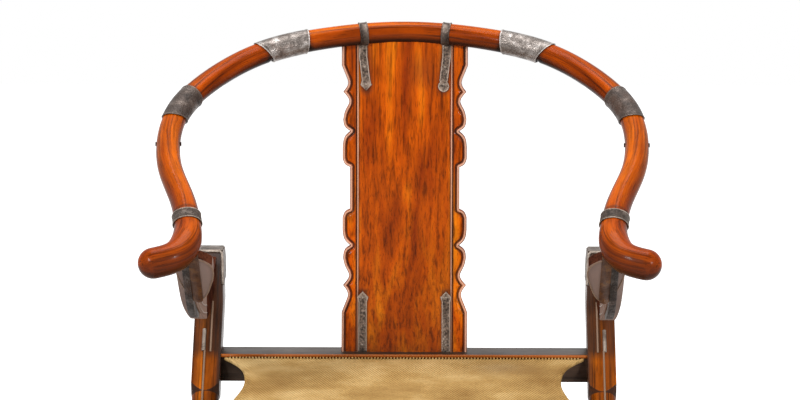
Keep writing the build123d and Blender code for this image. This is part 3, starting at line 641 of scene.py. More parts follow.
def node_tree(name, sizes):
    """Geometry node tree with a geometry in and out and named sizes, and the sockets of what it is given."""
    tree = bpy.data.node_groups.new(name, "GeometryNodeTree")
    face = tree.interface
    face.new_socket("Geometry", in_out="INPUT", socket_type="NodeSocketGeometry")
    for size, value in sizes.items():
        face.new_socket(size, in_out="INPUT", socket_type="NodeSocketFloat").default_value = value
    face.new_socket("Geometry", in_out="OUTPUT", socket_type="NodeSocketGeometry")
    return tree, add_node(tree, "NodeGroupInput").outputs


def end_tree(tree, geometry, finish):
    """Ends a tree: its instances are made real and get their finish."""
    whole = add_node(tree, "GeometryNodeRealizeInstances", {"Geometry": geometry})
    coat = add_node(tree, "GeometryNodeSetMaterial", {"Geometry": whole.outputs[0], "Material": finish})
    add_node(tree, "NodeGroupOutput", {"Geometry": coat.outputs[0]})
    return tree


def bent_wire_tree(finish):
    """Round wire along the edges that it is given."""
    tree, given = node_tree("bent_wire", {"Wire radius": 0.001})
    curve = add_node(tree, "GeometryNodeMeshToCurve", {"Mesh": given["Geometry"]})
    ring = add_node(tree, "GeometryNodeCurvePrimitiveCircle", {"Resolution": 8, "Radius": given["Wire radius"]})
    sweep = add_node(tree, "GeometryNodeCurveToMesh", {
        "Curve": curve.outputs["Curve"], "Profile Curve": ring.outputs["Curve"], "Fill Caps": True,
    })
    return end_tree(tree, sweep.outputs["Mesh"], finish)


def domed_heads_tree(finish):
    """A domed nail head on every point that it is given."""
    tree, given = node_tree("domed_heads", {"Head radius": 0.002, "Head height": 0.001})
    ball = add_node(tree, "GeometryNodeMeshUVSphere", {"Segments": 12, "Rings": 6, "Radius": 1.0})
    radius, height = given["Head radius"], given["Head height"]
    shape = add_node(tree, "ShaderNodeCombineXYZ", {"X": radius, "Y": height, "Z": radius})
    heads = add_node(tree, "GeometryNodeInstanceOnPoints", {
        "Points": given["Geometry"], "Instance": ball.outputs["Mesh"], "Scale": shape.outputs["Vector"],
    })
    return end_tree(tree, heads.outputs["Instances"], finish)


def cord_loops_tree(finish):
    """A small bent loop of cord on every point that it is given, standing over the mat's edge."""
    tree, given = node_tree("cord_loops", {"Loop radius": 0.0026, "Cord radius": 0.0010})
    arc = add_node(tree, "GeometryNodeCurveArc", {
        "Resolution": 6, "Radius": given["Loop radius"], "Sweep Angle": math.pi,
    })
    ring = add_node(tree, "GeometryNodeCurvePrimitiveCircle", {"Resolution": 5, "Radius": given["Cord radius"]})
    sweep = add_node(tree, "GeometryNodeCurveToMesh", {
        "Curve": arc.outputs["Curve"], "Profile Curve": ring.outputs["Curve"],
    })
    loops = add_node(tree, "GeometryNodeInstanceOnPoints", {
        "Points": given["Geometry"], "Instance": sweep.outputs["Mesh"],
        "Rotation": Matrix((UP, RIGHT, AWAY)).to_euler(),
    })
    return end_tree(tree, loops.outputs["Instances"], finish)


def grown(name, points, edges, tree, sizes, body, stands_for=()):
    """A piece that a node tree makes from points and edges, as a plain mesh."""
    seed = bpy.data.meshes.new(name + "_line")
    seed.from_pydata([tuple(p) for p in points], edges, [])
    carrier = bpy.data.objects.new(name + "_line", seed)
    scene.collection.objects.link(carrier)
    modifier = carrier.modifiers.new("make", "NODES")
    modifier.node_group = tree
    for item in tree.interface.items_tree:
        if item.in_out == "INPUT" and item.name in sizes:
            modifier[item.identifier] = sizes[item.name]
    evaluated = carrier.evaluated_get(bpy.context.evaluated_depsgraph_get())
    mesh = bpy.data.meshes.new_from_object(evaluated)
    bpy.data.objects.remove(carrier)
    mesh.name = name
    return placed(name, mesh, body, stands_for, sharp=50)


def wires(name, lines, tree, radius, closed=False, stands_for=()):
    """Wires along open or closed lines on the chair's right side, and along their mirror images."""
    points, edges = [], []
    for line in lines:
        for side in (1, -1):
            start, count = len(points), len(line)
            points.extend(Vector((side * p.x, p.y, p.z)) for p in line)
            edges.extend((start + i, start + (i + 1) % count) for i in range(count if closed else count - 1))
    return grown(name, points, edges, tree, {"Wire radius": radius}, "back_frame", stands_for)


iron_wire = bent_wire_tree(grey_iron)
worn_wire = bent_wire_tree(worn_iron)
highlight_bead = bent_wire_tree(highlight_bead_wood)
nail_heads = domed_heads_tree(worn_iron)
lacing = cord_loops_tree(lacing_cord)


# ---------------------------------------------------------------- arm rail

# The rail's centre line from the crest to the hand-hold: span, ahead, rise
CREST_BACK = 0.070
CREST_RISE = 0.451
ARM_LINE = [
    (0.0, -CREST_BACK, CREST_RISE), (0.107, -0.056, 0.4443), (0.191, -0.026, 0.4299), (0.272, 0.045, 0.3958),
    (0.307, 0.104, 0.3675), (0.318, 0.180, 0.331), (0.3105, 0.235, 0.3046), (0.290, 0.296, 0.2753),
    (0.279, 0.350, 0.2494), (0.280, 0.385, 0.2326), (0.292, 0.407, 0.222), (0.318, 0.4195, 0.216),
]
# Distances along the rail from the crest, and the rail's half thickness there
ARM_GIRTH = (
    (0.0, 0.100, 0.170, 0.430, 0.600, 0.660, 0.700, 2.0),
    (0.0148, 0.0152, 0.0156, 0.0161, 0.0167, 0.0176, 0.0204, 0.0208),
)
INNER_SLEEVE, OUTER_SLEEVE, ARM_BAND = 0.175, 0.384, 0.650      # middles of the iron, along the rail
IRON_ENDS = (0.142, 0.208, 0.354, 0.414, 0.640, 0.660)          # where the iron's edges lie
UNDER_IRON = ((0.146, 0.204), (0.358, 0.410))                   # stretches that the sleeves hide
SLIMMED = 0.0012                # how much thinner the rail is under a sleeve
ARM_FROM = (0.38, 0.46)         # the crest passes into the arm here
HAND_FROM = 0.715               # the hand-hold starts here
RAIL_AROUND = 36                # points round the rail
RAIL_STEP = 0.004               # between its sections
LOOK = 0.002                    # the rail's direction is taken over this distance each way
END_TURN = 0.12                 # steps of the rounded end, in radians

right_half = [at(span, ahead, SEAT_TOP + rise) for span, ahead, rise in ARM_LINE]
left_half = [Vector((-p.x, p.y, p.z)) for p in reversed(right_half[1:])]
arm_line = smooth_line(left_half + right_half, 1600)
arm_along = np.concatenate([[0.0], np.cumsum(np.linalg.norm(np.diff(arm_line, axis=0), axis=1))])
arm_along -= arm_along[-1] / 2
ARM_END = float(arm_along[-1])


def arm_place(s):
    return Vector([np.interp(s, arm_along, arm_line[:, k]) for k in range(3)])


def arm_frame(s):
    """Place on the rail at a distance from the crest, with the ways along it, level and up."""
    along = (arm_place(s + LOOK) - arm_place(s - LOOK)).normalized()
    level = along.cross(UP).normalized()
    return arm_place(s), along, level, along.cross(level)


def girth_at(s):
    return float(np.interp(abs(s), *ARM_GIRTH))


def rail_painted_shade(s, turn, out):
    """How dark the rail is painted: painted shade below, on the arm's flanks and beside the iron's edges."""
    below = min(1.0, max(0.0, (0.22 if abs(s) > HAND_FROM else 0.10) - out.z) / 0.75)
    on_arm = float(np.interp(abs(s), ARM_FROM, [0.0, 1.0]))
    flank = 0.55 * on_arm * max(0.0, abs(math.cos(turn)) - 0.62) / 0.38
    to_iron = min(abs(abs(s) - edge) for edge in IRON_ENDS)
    return min(1.0, max(0.9 * below, flank) + 0.7 * max(0.0, 1 - to_iron / 0.005))


def rail_stretch(node, start, end):
    """A stretch of the rail with its grain along the bend, round at the hand-hold's tip."""
    rows = []
    for s in spaced(start, end, RAIL_STEP):
        hidden = any(low < abs(s) < high for low, high in UNDER_IRON)
        rows.append((s, girth_at(s) - (SLIMMED if hidden else 0.0)))
    if end == ARM_END:
        tip = girth_at(end)
        rows += [(end + tip * math.sin(a), tip * math.cos(a)) for a in spaced(END_TURN, 1.54, END_TURN)]
    rings, grain, grime_and_shade = [], [], []
    for s, radius in rows:
        place, along, level, up = arm_frame(min(s, ARM_END))
        place = place + along * max(0.0, s - ARM_END)
        ring = []
        for turn in turns_round(RAIL_AROUND):
            out = level * math.cos(turn) + up * math.sin(turn)
            ring.append(place + out * radius)
            grain.append((s, radius * math.cos(turn), radius * math.sin(turn)))
            grime_and_shade.append(rail_painted_shade(s, turn, out))
        rings.append(ring)
    piece = piece_for(node, node + "_wood", shell_through(rings), rail_wood, sharp=60)
    write_points(piece, "grain", grain)
    # Painted shade under the rail, on the arm's flanks and at the iron's edges
    write_points(piece, "grime_and_shade", grime_and_shade)
    return piece


rail_stretch("crest_rail_center", -INNER_SLEEVE, INNER_SLEEVE)
for node, start, end in (("crest_rail", INNER_SLEEVE, OUTER_SLEEVE), ("arm_rail", OUTER_SLEEVE, ARM_END)):
    right_shell = bmesh.new()
    right_shell.from_mesh(rail_stretch(node + "_right", start, end).data)
    left = node + "_left"
    piece_for(left, left + "_wood", mirror_image(right_shell), rail_wood, sharp=60)
    right_shell.free()


# ---------------------------------------------------------------- iron round the arm rail

SHEET_IRON = 0.0016             # outer face of a sleeve, above the wood
# A sleeve's rolled rim: distance in from its end and height above the wood
SLEEVE_RIM = [(0.0, 0.0012), (0.0003, 0.0019), (0.0011, 0.0021), (0.0019, 0.0018), (0.0025, SHEET_IRON)]
SLEEVE_PLAIN = 0.005            # the rim ends this far in
SLEEVE_UNDER = 0.0002           # inner face of a sleeve, above the wood
SLEEVE_AROUND = 48
BAND_LEAN = 20
BAND_LINES_LIFT = 0.00162
RING_AROUND = 40


def leaning_ring(s, lean, lift):
    """Closed line round the rail, leaning along it as the end of a sleeve does."""
    place, along, level, up = arm_frame(s)
    radius = girth_at(s) + lift
    slope = -math.tan(math.radians(lean))
    ring = []
    for turn in turns_round(RING_AROUND):
        out = level * math.cos(turn) + up * math.sin(turn)
        ring.append(place + out * radius + along * (radius * math.sin(turn) * slope))
    return ring


def on_rail(s, turn, lift, lean):
    """A place round the rail at a lift above the wood, on a section that leans along it."""
    radius = girth_at(s) + lift
    rise = radius * math.sin(turn)
    place, along, level, up = arm_frame(s - rise * math.tan(math.radians(lean)))
    return place + level * (radius * math.cos(turn)) + up * rise


def iron_sleeve(node, middle, length, leans, finish):
    """Thin sleeves round both sides of the rail, with leaning ends and rolled rims."""
    low, high = middle - length / 2, middle + length / 2
    rows = [(low + inset, lift) for inset, lift in SLEEVE_RIM]
    rows += [(s, SHEET_IRON) for s in spaced(low + SLEEVE_PLAIN, high - SLEEVE_PLAIN, 0.006)]
    rows += [(high - inset, lift) for inset, lift in reversed(SLEEVE_RIM)]
    rows += [(high - SLEEVE_UNDER, SLEEVE_UNDER), (low + SLEEVE_UNDER, SLEEVE_UNDER)]
    rings = []
    for s, lift in rows:
        lean = float(np.interp(s, [low, high], leans))
        rings.append([on_rail(s, turn, lift, lean) for turn in turns_round(SLEEVE_AROUND)])
    shell = shell_through(rings, round_again=True)
    lifts = np.repeat([lift for s, lift in rows], SLEEVE_AROUND)
    for hand, half in (("_left", mirror_image(shell)), ("_right", shell)):
        piece = piece_for(node + hand, node + hand + "_iron", half, finish)
        write_points(piece, "worn", np.interp(lifts, [0.0017, 0.0020], [0.0, 0.4]))


iron_sleeve("inner_sleeve", INNER_SLEEVE, length=0.066, leans=(-12, 30), finish=sleeve_iron)
iron_sleeve("outer_sleeve", OUTER_SLEEVE, length=0.060, leans=(0, 34), finish=outer_iron)
iron_sleeve("arm_band", ARM_BAND, length=0.020, leans=(BAND_LEAN, BAND_LEAN), finish=loop_iron)
band_rims = [leaning_ring(ARM_BAND + offset, BAND_LEAN, BAND_LINES_LIFT) for offset in (-0.0092, 0.0092)]
wires("band_rims", band_rims, worn_wire, 0.0008, closed=True)
band_ridges = [
    leaning_ring(ARM_BAND + offset, BAND_LEAN, BAND_LINES_LIFT - 0.0002)
    for offset in (-0.0060, -0.0030, 0.0, 0.0030, 0.0060)
]
wires("band_ridges", band_ridges, iron_wire, 0.0005, closed=True)
iron_copy("arm_studs", rough_iron, edge=0.0006, segments=2)


# ---------------------------------------------------------------- splat

# The splat's bow, as a circle through three places on its middle: ahead and height
SPLAT_BOW = ((0.0, SEAT_TOP), (-0.049, 0.7255), (-CREST_BACK, SEAT_TOP + CREST_RISE))
BOARD_HALF = 0.0682             # half width of the middle board
BOARD_FACE = 0.0065             # its front, ahead of the bow
BOARD_TOP, FLANGE_TOP = 0.9375, 0.9350
BEAD_AT, BEAD_HALF, BEAD_RISE = 0.0669, 0.0012, 0.0013
GROOVE_WIDTH, GROOVE_DEPTH = 0.0006, 0.0006     # inside the bead
BOARD_EDGE_DEPTH = 0.0020                       # outside the bead
FLANGE_FACE = 0.0045
FLANGE_MIDDLE = 0.7285          # the flange's outline is the same above and below this height
FLANGE_FOOT = 0.090
FLANGE_LAP = 0.001              # how far a flange runs under the board's edge
FLANGE_STEP = 0.0012
# The flange's outline from its middle up: distance from the chair's middle, and height above its own
FLANGE_LINE = [
    [(0.0784, 0.0), (0.0784, 0.030)],
    [(0.0784, 0.030), (0.085, 0.0335), (0.089, 0.042)],
    [(0.089, 0.042), (0.089, 0.058)],
    [(0.089, 0.058), (0.0857, 0.073), (0.0776, 0.081)],
    [(0.0776, 0.081), (0.0858, 0.0875), (0.0882, 0.098)],
    [(0.0882, 0.098), (0.0848, 0.111), (0.0796, 0.123), (0.088, 0.137)],
    [(0.088, 0.137), (0.0812, 0.149), (0.0844, 0.161), (FLANGE_FOOT, 0.175)],
    [(FLANGE_FOOT, 0.175), (FLANGE_FOOT, 0.2285)],
]
EDGE_BEAD, EDGE_GROOVE = 0.0042, 0.0062         # where the flange's bead and its groove end, in from the edge
EDGE_BEAD_FOOT, EDGE_BEAD_RISE, EDGE_GROOVE_FACE, EDGE_SLOPE = 0.0015, 0.0042, 0.0022, 2.2
EDGE_STEPS = [
    0.0, 0.0004, 0.0009, 0.0016, 0.0023, 0.0030, 0.0036, 0.0041, 0.0045, 0.0052, 0.0060, 0.0067, 0.0074,
]
# Grime on a flange: distances in from its shaped edge, and how dark it is there
GROOVE_GRIME = ([0.0, 0.0012, 0.0032, 0.0042, 0.0056, 0.0070], [0.5, 0.0, 0.0, 0.8, 0.95, 0.0])

STRAP_AT, STRAP_WIDTH, STRAP_HEAD_WIDTH = 0.0596, 0.0124, 0.0166
STRAP_HEAD, STRAP_TIP, STRAP_LEAN, STRAP_BEND = 0.015, 0.008, 0.0042, 0.018
# Lines under the straps, along which a painted shadow darkens the wood beside them
STRAP_SHADOW_LINES = (
    [(STRAP_AT, 0.935), (STRAP_AT - STRAP_LEAN, 0.872)],
    [(STRAP_AT, SEAT_TOP), (STRAP_AT, 0.580)],
)
SMOKE_AT, SMOKE_REACH, SMOKE = (0.024, 0.895), (0.016, 0.024), 0.42      # dusky patch near the splat's top


def circle_through(a, b, c):
    (ax, ay), (bx, by), (cx, cy) = a, b, c
    d = 2 * (ax * (by - cy) + bx * (cy - ay) + cx * (ay - by))
    ux = ((ax**2 + ay**2) * (by - cy) + (bx**2 + by**2) * (cy - ay) + (cx**2 + cy**2) * (ay - by)) / d
    uy = ((ax**2 + ay**2) * (cx - bx) + (bx**2 + by**2) * (ax - cx) + (cx**2 + cy**2) * (bx - ax)) / d
    return ux, uy, math.hypot(ax - ux, ay - uy)


bow_ahead, bow_height, bow_radius = circle_through(*SPLAT_BOW)


def bow_at(z):
    """How far ahead the splat's middle lies at a height."""
    return bow_ahead - math.sqrt(bow_radius**2 - (z - bow_height) ** 2)


def on_bow(u, v, height):
    return at(u, bow_at(v) + height, v)


def board_face(d, u, v):
    """A flat middle with a fine raised bead along each side."""
    off = abs(abs(u) - BEAD_AT)
    if off < BEAD_HALF:
        return BOARD_FACE + BEAD_RISE * math.sqrt(1 - (off / BEAD_HALF) ** 2)
    if abs(u) > BEAD_AT:
        return BOARD_FACE - BOARD_EDGE_DEPTH
    return BOARD_FACE - (GROOVE_DEPTH if abs(u) > BEAD_AT - BEAD_HALF - GROOVE_WIDTH else 0.0)


def flange_face(d, u, v):
    """Rounded bead along the shaped edge, a groove inside it, and a flat strip."""
    if d < EDGE_BEAD:
        swell = math.sin(math.pi * min(1.0, 0.12 + d / EDGE_BEAD * 0.88)) ** 0.7
        return EDGE_BEAD_FOOT + EDGE_BEAD_RISE * swell
    if d < EDGE_GROOVE:
        return EDGE_GROOVE_FACE
    return min(FLANGE_FACE, EDGE_GROOVE_FACE + (d - EDGE_GROOVE) * EDGE_SLOPE)


def splat_board():
    bead_steps = [BOARD_HALF - BEAD_AT - BEAD_HALF * math.cos(math.pi * k / 8) for k in range(9)]
    shell = board_in_rows(
        spaced(SEAT_TOP, BOARD_TOP, 0.005), lambda v: -BOARD_HALF, lambda v: BOARD_HALF,
        [0.0, *bead_steps, 0.0027, 0.0031, 0.0034, 0.0060],
        board_face, lambda d, u, v: -board_face(d, u, v), on_bow, middles=47,
    )
    board = piece_for("splat_panel", "splat_board", shell, splat_wood, sharp=30)
    lay_grain(board, UP, RIGHT, Vector((0.031, 0, 0.13)))
    places = points_of(board)
    span, height = np.abs(places[:, 0]), places[:, 2]
    off_bead = np.abs(span - BEAD_AT)
    # Painted highlight along the crest of each bead
    write_points(board, "worn", np.interp(off_bead, [0.0, 0.0008, 0.0012], [0.9, 0.7, 0.0]))
    beside_bead = np.interp(off_bead, [0.0010, 0.0013, 0.0018, 0.0026], [0.0, 0.8, 0.6, 0.0])
    smoky = SMOKE * soft_patch(places[:, 0], height, SMOKE_AT, SMOKE_REACH)
    foot = np.interp(height, [0.50, 0.58, 0.72, 0.80], [0.34, 0.24, 0.16, 0.0])
    flat = np.column_stack([span, height])
    to_strap = np.minimum.reduce([distance_to_line(flat, np.array(line)) for line in STRAP_SHADOW_LINES])
    # Painted shadow of the straps on the board beside them
    strap_shadow = np.interp(to_strap, [0.0062, 0.0082, 0.0130], [0.75, 0.45, 0.0])
    write_points(board, "grime_and_shade", np.maximum.reduce([beside_bead, smoky, foot, strap_shadow]))


def flange_outline():
    """The flange's whole outline, as spans and heights from its foot to its top."""
    upper = [FLANGE_LINE[0][0]]
    for stretch in FLANGE_LINE:
        count = max(2, round(math.dist(stretch[0], stretch[-1]) / FLANGE_STEP))
        upper += [tuple(p) for p in smooth_line(stretch, count)[1:]]
    upper = np.array(upper)
    heights = np.concatenate([-upper[:0:-1, 1], upper[:, 1]]) + FLANGE_MIDDLE
    spans = np.concatenate([upper[:0:-1, 0], upper[:, 0]])
    kept = heights <= FLANGE_TOP
    return spans[kept], heights[kept]


def splat_flanges():
    """The two shaped strips beside the board, with grime in their grooves, darker along the board, and a
    painted highlight on their beads.
    """
    spans, heights = flange_outline()
    rim = np.column_stack([spans, heights])
    right_shell = board_in_rows(
        list(heights), lambda v: BOARD_HALF - FLANGE_LAP, lambda v: float(np.interp(v, heights, spans)),
        EDGE_STEPS, flange_face, lambda d, u, v: -flange_face(d, u, v), on_bow, rim=rim,
    )
    for hand, shell in (("_left", mirror_image(right_shell)), ("_right", right_shell)):
        flange = piece_for("splat_flange" + hand, "splat_edge" + hand, shell, splat_wood, sharp=45)
        lay_grain(flange, UP, RIGHT, Vector((0.4, 0, 0.3)))
        places = points_of(flange)
        span = np.abs(places[:, 0])
        depth = distance_to_line(np.column_stack([span, places[:, 2]]), rim)
        grooves = np.interp(depth, *GROOVE_GRIME)
        beside_board = np.interp(span - BOARD_HALF, [0.0, 0.0012, 0.0030], [0.95, 0.9, 0.0])
        write_points(flange, "grime_and_shade", np.maximum(grooves, beside_board))
        # Painted highlight along the flange's bead
        bead_highlight = np.interp(depth, [0.0005, 0.0012, 0.0031, 0.0038], [0.1, 0.95, 0.85, 0.0])
        write_points(flange, "worn", bead_highlight)


splat_board()
splat_flanges()


# ---------------------------------------------------------------- straps on the splat

ON_BOARD = BOARD_FACE + 0.00012                 # where the straps lie
CREST_GIRTH = 0.0151                            # the crest rail's half thickness at the straps
CREST_UNDER = SEAT_TOP + CREST_RISE - CREST_GIRTH
TAIL_GAP = 0.001                                # between the crest rail and an upper strap
TAIL_LENGTH, ROUND_TAIL_LENGTH, FOOT_LENGTH = 0.068, 0.070, 0.084
# A strap's face: distance in from its edge, and height above the board, with a rim round a sunk field
STRAP_PROFILE = ([0.0, 0.0004, 0.0010, 0.0016, 0.0020], [0.0004, 0.0016, 0.0018, 0.0014, 0.0009])
STRAP_BACK = 0.0004                             # how far a strap is let into the board
# A strap's head: distances back from its tip, and half widths there
ROUND_HEAD_RADIUS = 0.0083
POINTED_HEAD = [(STRAP_HEAD, STRAP_WIDTH / 2), (STRAP_TIP, STRAP_HEAD_WIDTH / 2), (0.0, 0.0)]
ROUND_HEAD = [(0.0172, STRAP_WIDTH / 2)] + [
    (ROUND_HEAD_RADIUS * (1 - math.cos(turn)), ROUND_HEAD_RADIUS * math.sin(turn))
    for turn in (2.45, 2.0, 1.57, 1.1, 0.7, 0.35)
] + [(0.0, 0.0)]
# The edge of the ring round the crest rail: distance in, and height above the wood
LOOP_EDGE = [(0.0, 0.0004), (0.0004, 0.0017), (0.0011, 0.0019), (0.0018, 0.0016), (0.0022, 0.0012)]
LOOP_AROUND = 40
NAIL_INSET, NAIL_LIFT = 0.009, 0.0009
RIM_FROM, RIM_OVER = 0.0010, 0.0006          # a strap's rim turns pale over these heights


def splat_strap(root, tip, lean=0.0, head=POINTED_HEAD):
    """Strap with a straight root and a shaped head, as a shell on the splat's front."""
    way, length = (1.0 if tip > root else -1.0), abs(tip - root)
    spots = [0.0, STRAP_BEND] + [length - back for back, half in head]
    halves = [STRAP_WIDTH / 2] * 2 + [half for back, half in head]
    middles = [STRAP_AT, STRAP_AT] + [STRAP_AT - lean] * len(head)

    def edge(v, side):
        spot = abs(v - root)
        return float(np.interp(spot, spots, middles)) + side * float(np.interp(spot, spots, halves))

    return board_in_rows(
        sorted({round(q, 6) for q in spaced(root, tip, 0.002) + [root + way * s for s in spots]}),
        lambda v: edge(v, -1), lambda v: edge(v, 1), STRAP_PROFILE[0],
        lambda d, u, v: ON_BOARD + float(np.interp(d, *STRAP_PROFILE)),
        lambda d, u, v: ON_BOARD - STRAP_BACK, on_bow,
    )


def strap_piece(name, shell, stands_for=()):
    """A strap with its raised rim rubbed pale."""
    strap = make_piece(name, shell, strap_iron, "back_frame", stands_for)
    lift = np.array([MIDDLE_AHEAD - y - bow_at(z) for y, z in points_of(strap)[:, 1:]]) - ON_BOARD
    write_points(strap, "worn", np.clip((lift - RIM_FROM) / RIM_OVER, 0.0, 1.0))


def strap_loop(side):
    """The strap's ring round the crest rail, with raised rims."""
    half = STRAP_WIDTH / 2
    sections = [(inset - half, lift) for inset, lift in LOOP_EDGE]
    sections += [(half - inset, lift) for inset, lift in reversed(LOOP_EDGE)]
    rings = []
    for offset, lift in sections:
        place, along, level, up = arm_frame(side * STRAP_AT + offset)
        rings.append([
            place + (level * math.cos(turn) + up * math.sin(turn)) * (CREST_GIRTH + lift)
            for turn in turns_round(LOOP_AROUND)
        ])
    return shell_through(rings, round_again=True)


foot_shell = splat_strap(SEAT_TOP, SEAT_TOP + FOOT_LENGTH)
strap_piece("foot_strap_left", mirror_image(foot_shell), ("splat_strap_left",))
strap_piece("foot_strap_right", foot_shell, ("splat_strap_right",))
left_tail = splat_strap(CREST_UNDER - TAIL_GAP, CREST_UNDER - TAIL_LENGTH, STRAP_LEAN)
strap_piece("crest_strap_tail_left", mirror_image(left_tail))
right_tail = splat_strap(CREST_UNDER - TAIL_GAP, CREST_UNDER - ROUND_TAIL_LENGTH, STRAP_LEAN, ROUND_HEAD)
strap_piece("crest_strap_tail_right", right_tail)
for hand, side in HANDS:
    loop = piece_for("crest_strap" + hand, "crest_strap_loop" + hand, strap_loop(side), loop_iron)
    off_middle = np.abs(np.abs(points_of(loop)[:, 0]) - STRAP_AT)
    rim = np.interp(off_middle, [0.0040, 0.0044, 0.0058, 0.0062], [0.0, 1.0, 1.0, 0.3])
    write_points(loop, "worn", rim)

NAILS = (
    (STRAP_AT - STRAP_LEAN, CREST_UNDER - TAIL_LENGTH + NAIL_INSET),
    (STRAP_AT - STRAP_LEAN / 2, CREST_UNDER - TAIL_LENGTH / 2),
    (STRAP_AT, SEAT_TOP + NAIL_INSET),
    (STRAP_AT, SEAT_TOP + FOOT_LENGTH - NAIL_INSET),
)
nails = [on_bow(span * side, height, ON_BOARD + NAIL_LIFT) for span, height in NAILS for side in (1, -1)]
nail_sizes = {"Head radius": 0.0019, "Head height": 0.0014}
grown("domed_strap_nails", nails, [], nail_heads, nail_sizes, "back_frame", ("strap_nails",))


# ---------------------------------------------------------------- posts under the arms, and the elbows

# The leaf-shaped swelling of each post: its middle, its half width and length, its outline in shares of them
LEAF_SPAN, LEAF_AHEAD, LEAF_RISE = 0.26925, 0.3475, 0.1775
LEAF_HALF, LEAF_REACH = 0.024, 0.0535
LEAF_OUTLINE = [(0.0, 1.0), (0.68, 0.84), (1.0, 0.58), (0.91, -0.05), (0.72, -0.4), (0.36, -0.81), (0.0, -1.0)]
LEAF_LEAN = math.radians(45)
LEAF_INSET = 0.0012
leaf_down = Vector((0, -math.sin(LEAF_LEAN), -math.cos(LEAF_LEAN)))
leaf_along = Vector((0, -math.cos(LEAF_LEAN), math.sin(LEAF_LEAN)))
leaf_middle = at(LEAF_SPAN, LEAF_AHEAD, SEAT_TOP + LEAF_RISE)
NECK_AHEAD = 0.100              # the painted sheen on the post's inner face starts ahead of this
POST_INNER = 0.2745             # span of that face
# Two fine mouldings on it, in pale wood as their painted highlights: ahead, rise
POST_LINES = (
    [(0.105, 0.079), (0.160, 0.092), (0.225, 0.116), (0.280, 0.146)],
    [(0.105, 0.090), (0.160, 0.103), (0.220, 0.126), (0.270, 0.153)],
)
ELBOW_RISE, ELBOW_FRONT, ELBOW_INNER, ELBOW_OUTER = 0.1245, -0.0940, 0.2665, 0.3015
# The elbow's worn rim, from its inner face over its top: off the inner face, behind its front, off its top
ELBOW_RIM = (
    (-0.0030, 0.0392, -0.0400), (-0.0012, 0.0120, -0.0120), (0.0, 0.0030, -0.0020), (0.0030, 0.0, 0.0008),
    (ELBOW_OUTER - ELBOW_INNER - 0.0020, 0.0, 0.0008),
)


def leaf_rim():
    """Line just inside the leaf's edge on its lower face, in pale wood as the painted highlight along the
    leaf's rim.
    """
    half_width, reach = LEAF_HALF - LEAF_INSET, LEAF_REACH - LEAF_INSET
    half = [Vector(p) for p in smooth_line([(x * half_width, y * reach, 0) for x, y in LEAF_OUTLINE], 36)]
    whole = half + [Vector((-p.x, p.y, 0)) for p in reversed(half[1:-1])]
    return [leaf_middle + RIGHT * p.x + leaf_along * p.y for p in whole]


def carved_post(hand, side):
    """The post with its swelling: rounded edges worn pale, and painted sheen on the leaf, on the faces turned
    down to the front and on the neck's inner face.
    """
    node = "arm_post" + hand
    shell = merged_copy(node)
    rounded = soften(shell, 0.0020, 3)
    middle = Vector((leaf_middle.x * side, leaf_middle.y, leaf_middle.z))
    cut_across(shell, at(0, NECK_AHEAD, 0), AWAY)
    rubbed_and_sheen, leaf_sheen = set(), set()
    for face in shell.faces:
        place, downwards = face.calc_center_median(), face.normal.dot(leaf_down)
        inwards = face.normal.x * side < -0.97 and place.y < MIDDLE_AHEAD - NECK_AHEAD
        if downwards > 0.75 or inwards:
            rubbed_and_sheen.add(face)
            if downwards > 0.97 and abs((place - middle).dot(leaf_down)) < 0.0012:
                leaf_sheen.add(face)
    mark_worn(shell, (rounded, 0.35), (rubbed_and_sheen, 0.95), (leaf_sheen, 0.75))
    lay_grain(piece_for(node, node + "_wood", shell, shaded_post_wood), Vector((0, -0.8, 0.6)), RIGHT)


for hand, side in HANDS:
    carved_post(hand, side)
    iron_copy("post_strap" + hand, brown_iron, edge=0.0005, segments=2, worn_by=0.5)
    # The brace in the darkest iron, which is also the painted shade under the arm
    iron_copy("arm_brace" + hand, rough_iron, edge=0.0012, segments=2, worn_by=0.15)
    iron_copy("elbow_mount" + hand, grey_iron, edge=0.0005, worn_by=0.45)
wires("leaf_rims", [leaf_rim()], highlight_bead, 0.0010, closed=True)
elbow_rim = [
    at(ELBOW_INNER + out, ELBOW_FRONT + behind, SEAT_TOP + ELBOW_RISE + off) for out, behind, off in ELBOW_RIM
]
wires("elbow_rims", [elbow_rim], worn_wire, 0.0020)


# ---------------------------------------------------------------- legs, rails and runners

FRONT_FOOT, REAR_FOOT, RAIL_HEIGHT = 0.490, -0.040, 0.040
LEG_SPAN, HALF_SQUARE = 0.2815, 0.020           # middle of an outer leg, and half its thickness
leg_up = Vector((0, FRONT_FOOT, SEAT_TOP))
rear_leg_up = Vector((0, REAR_FOOT - SEAT_SPAN, SEAT_TOP - RAIL_HEIGHT / 2))
LEG_SLOPE = SEAT_TOP / FRONT_FOOT
LEG_FACE = HALF_SQUARE * math.hypot(1, 1 / LEG_SLOPE)           # the front face, ahead of the leg's middle
# The square head of an outer leg turns round over a shoulder, drawn lower here than in the node
HEAD_BLOCK, SHOULDER, HEAD_SHIFT = 0.062, 0.016, 0.017
SHOULDER_END = HEAD_BLOCK + HEAD_SHIFT
SHOULDER_START = SHOULDER_END - SHOULDER
NECK_RADIUS, CORNER_RADIUS = 0.0191, 0.02928    # radii between which the shoulder's cone cuts the square
# Mouldings and shading on the outer legs: spans and rises at which they change
LEG_SPANS = (0.2660, 0.2690, 0.2775, 0.2800, 0.2825)
LEG_RISES = (-0.006, 0.006, 0.030, 0.050, 0.098, 0.108)
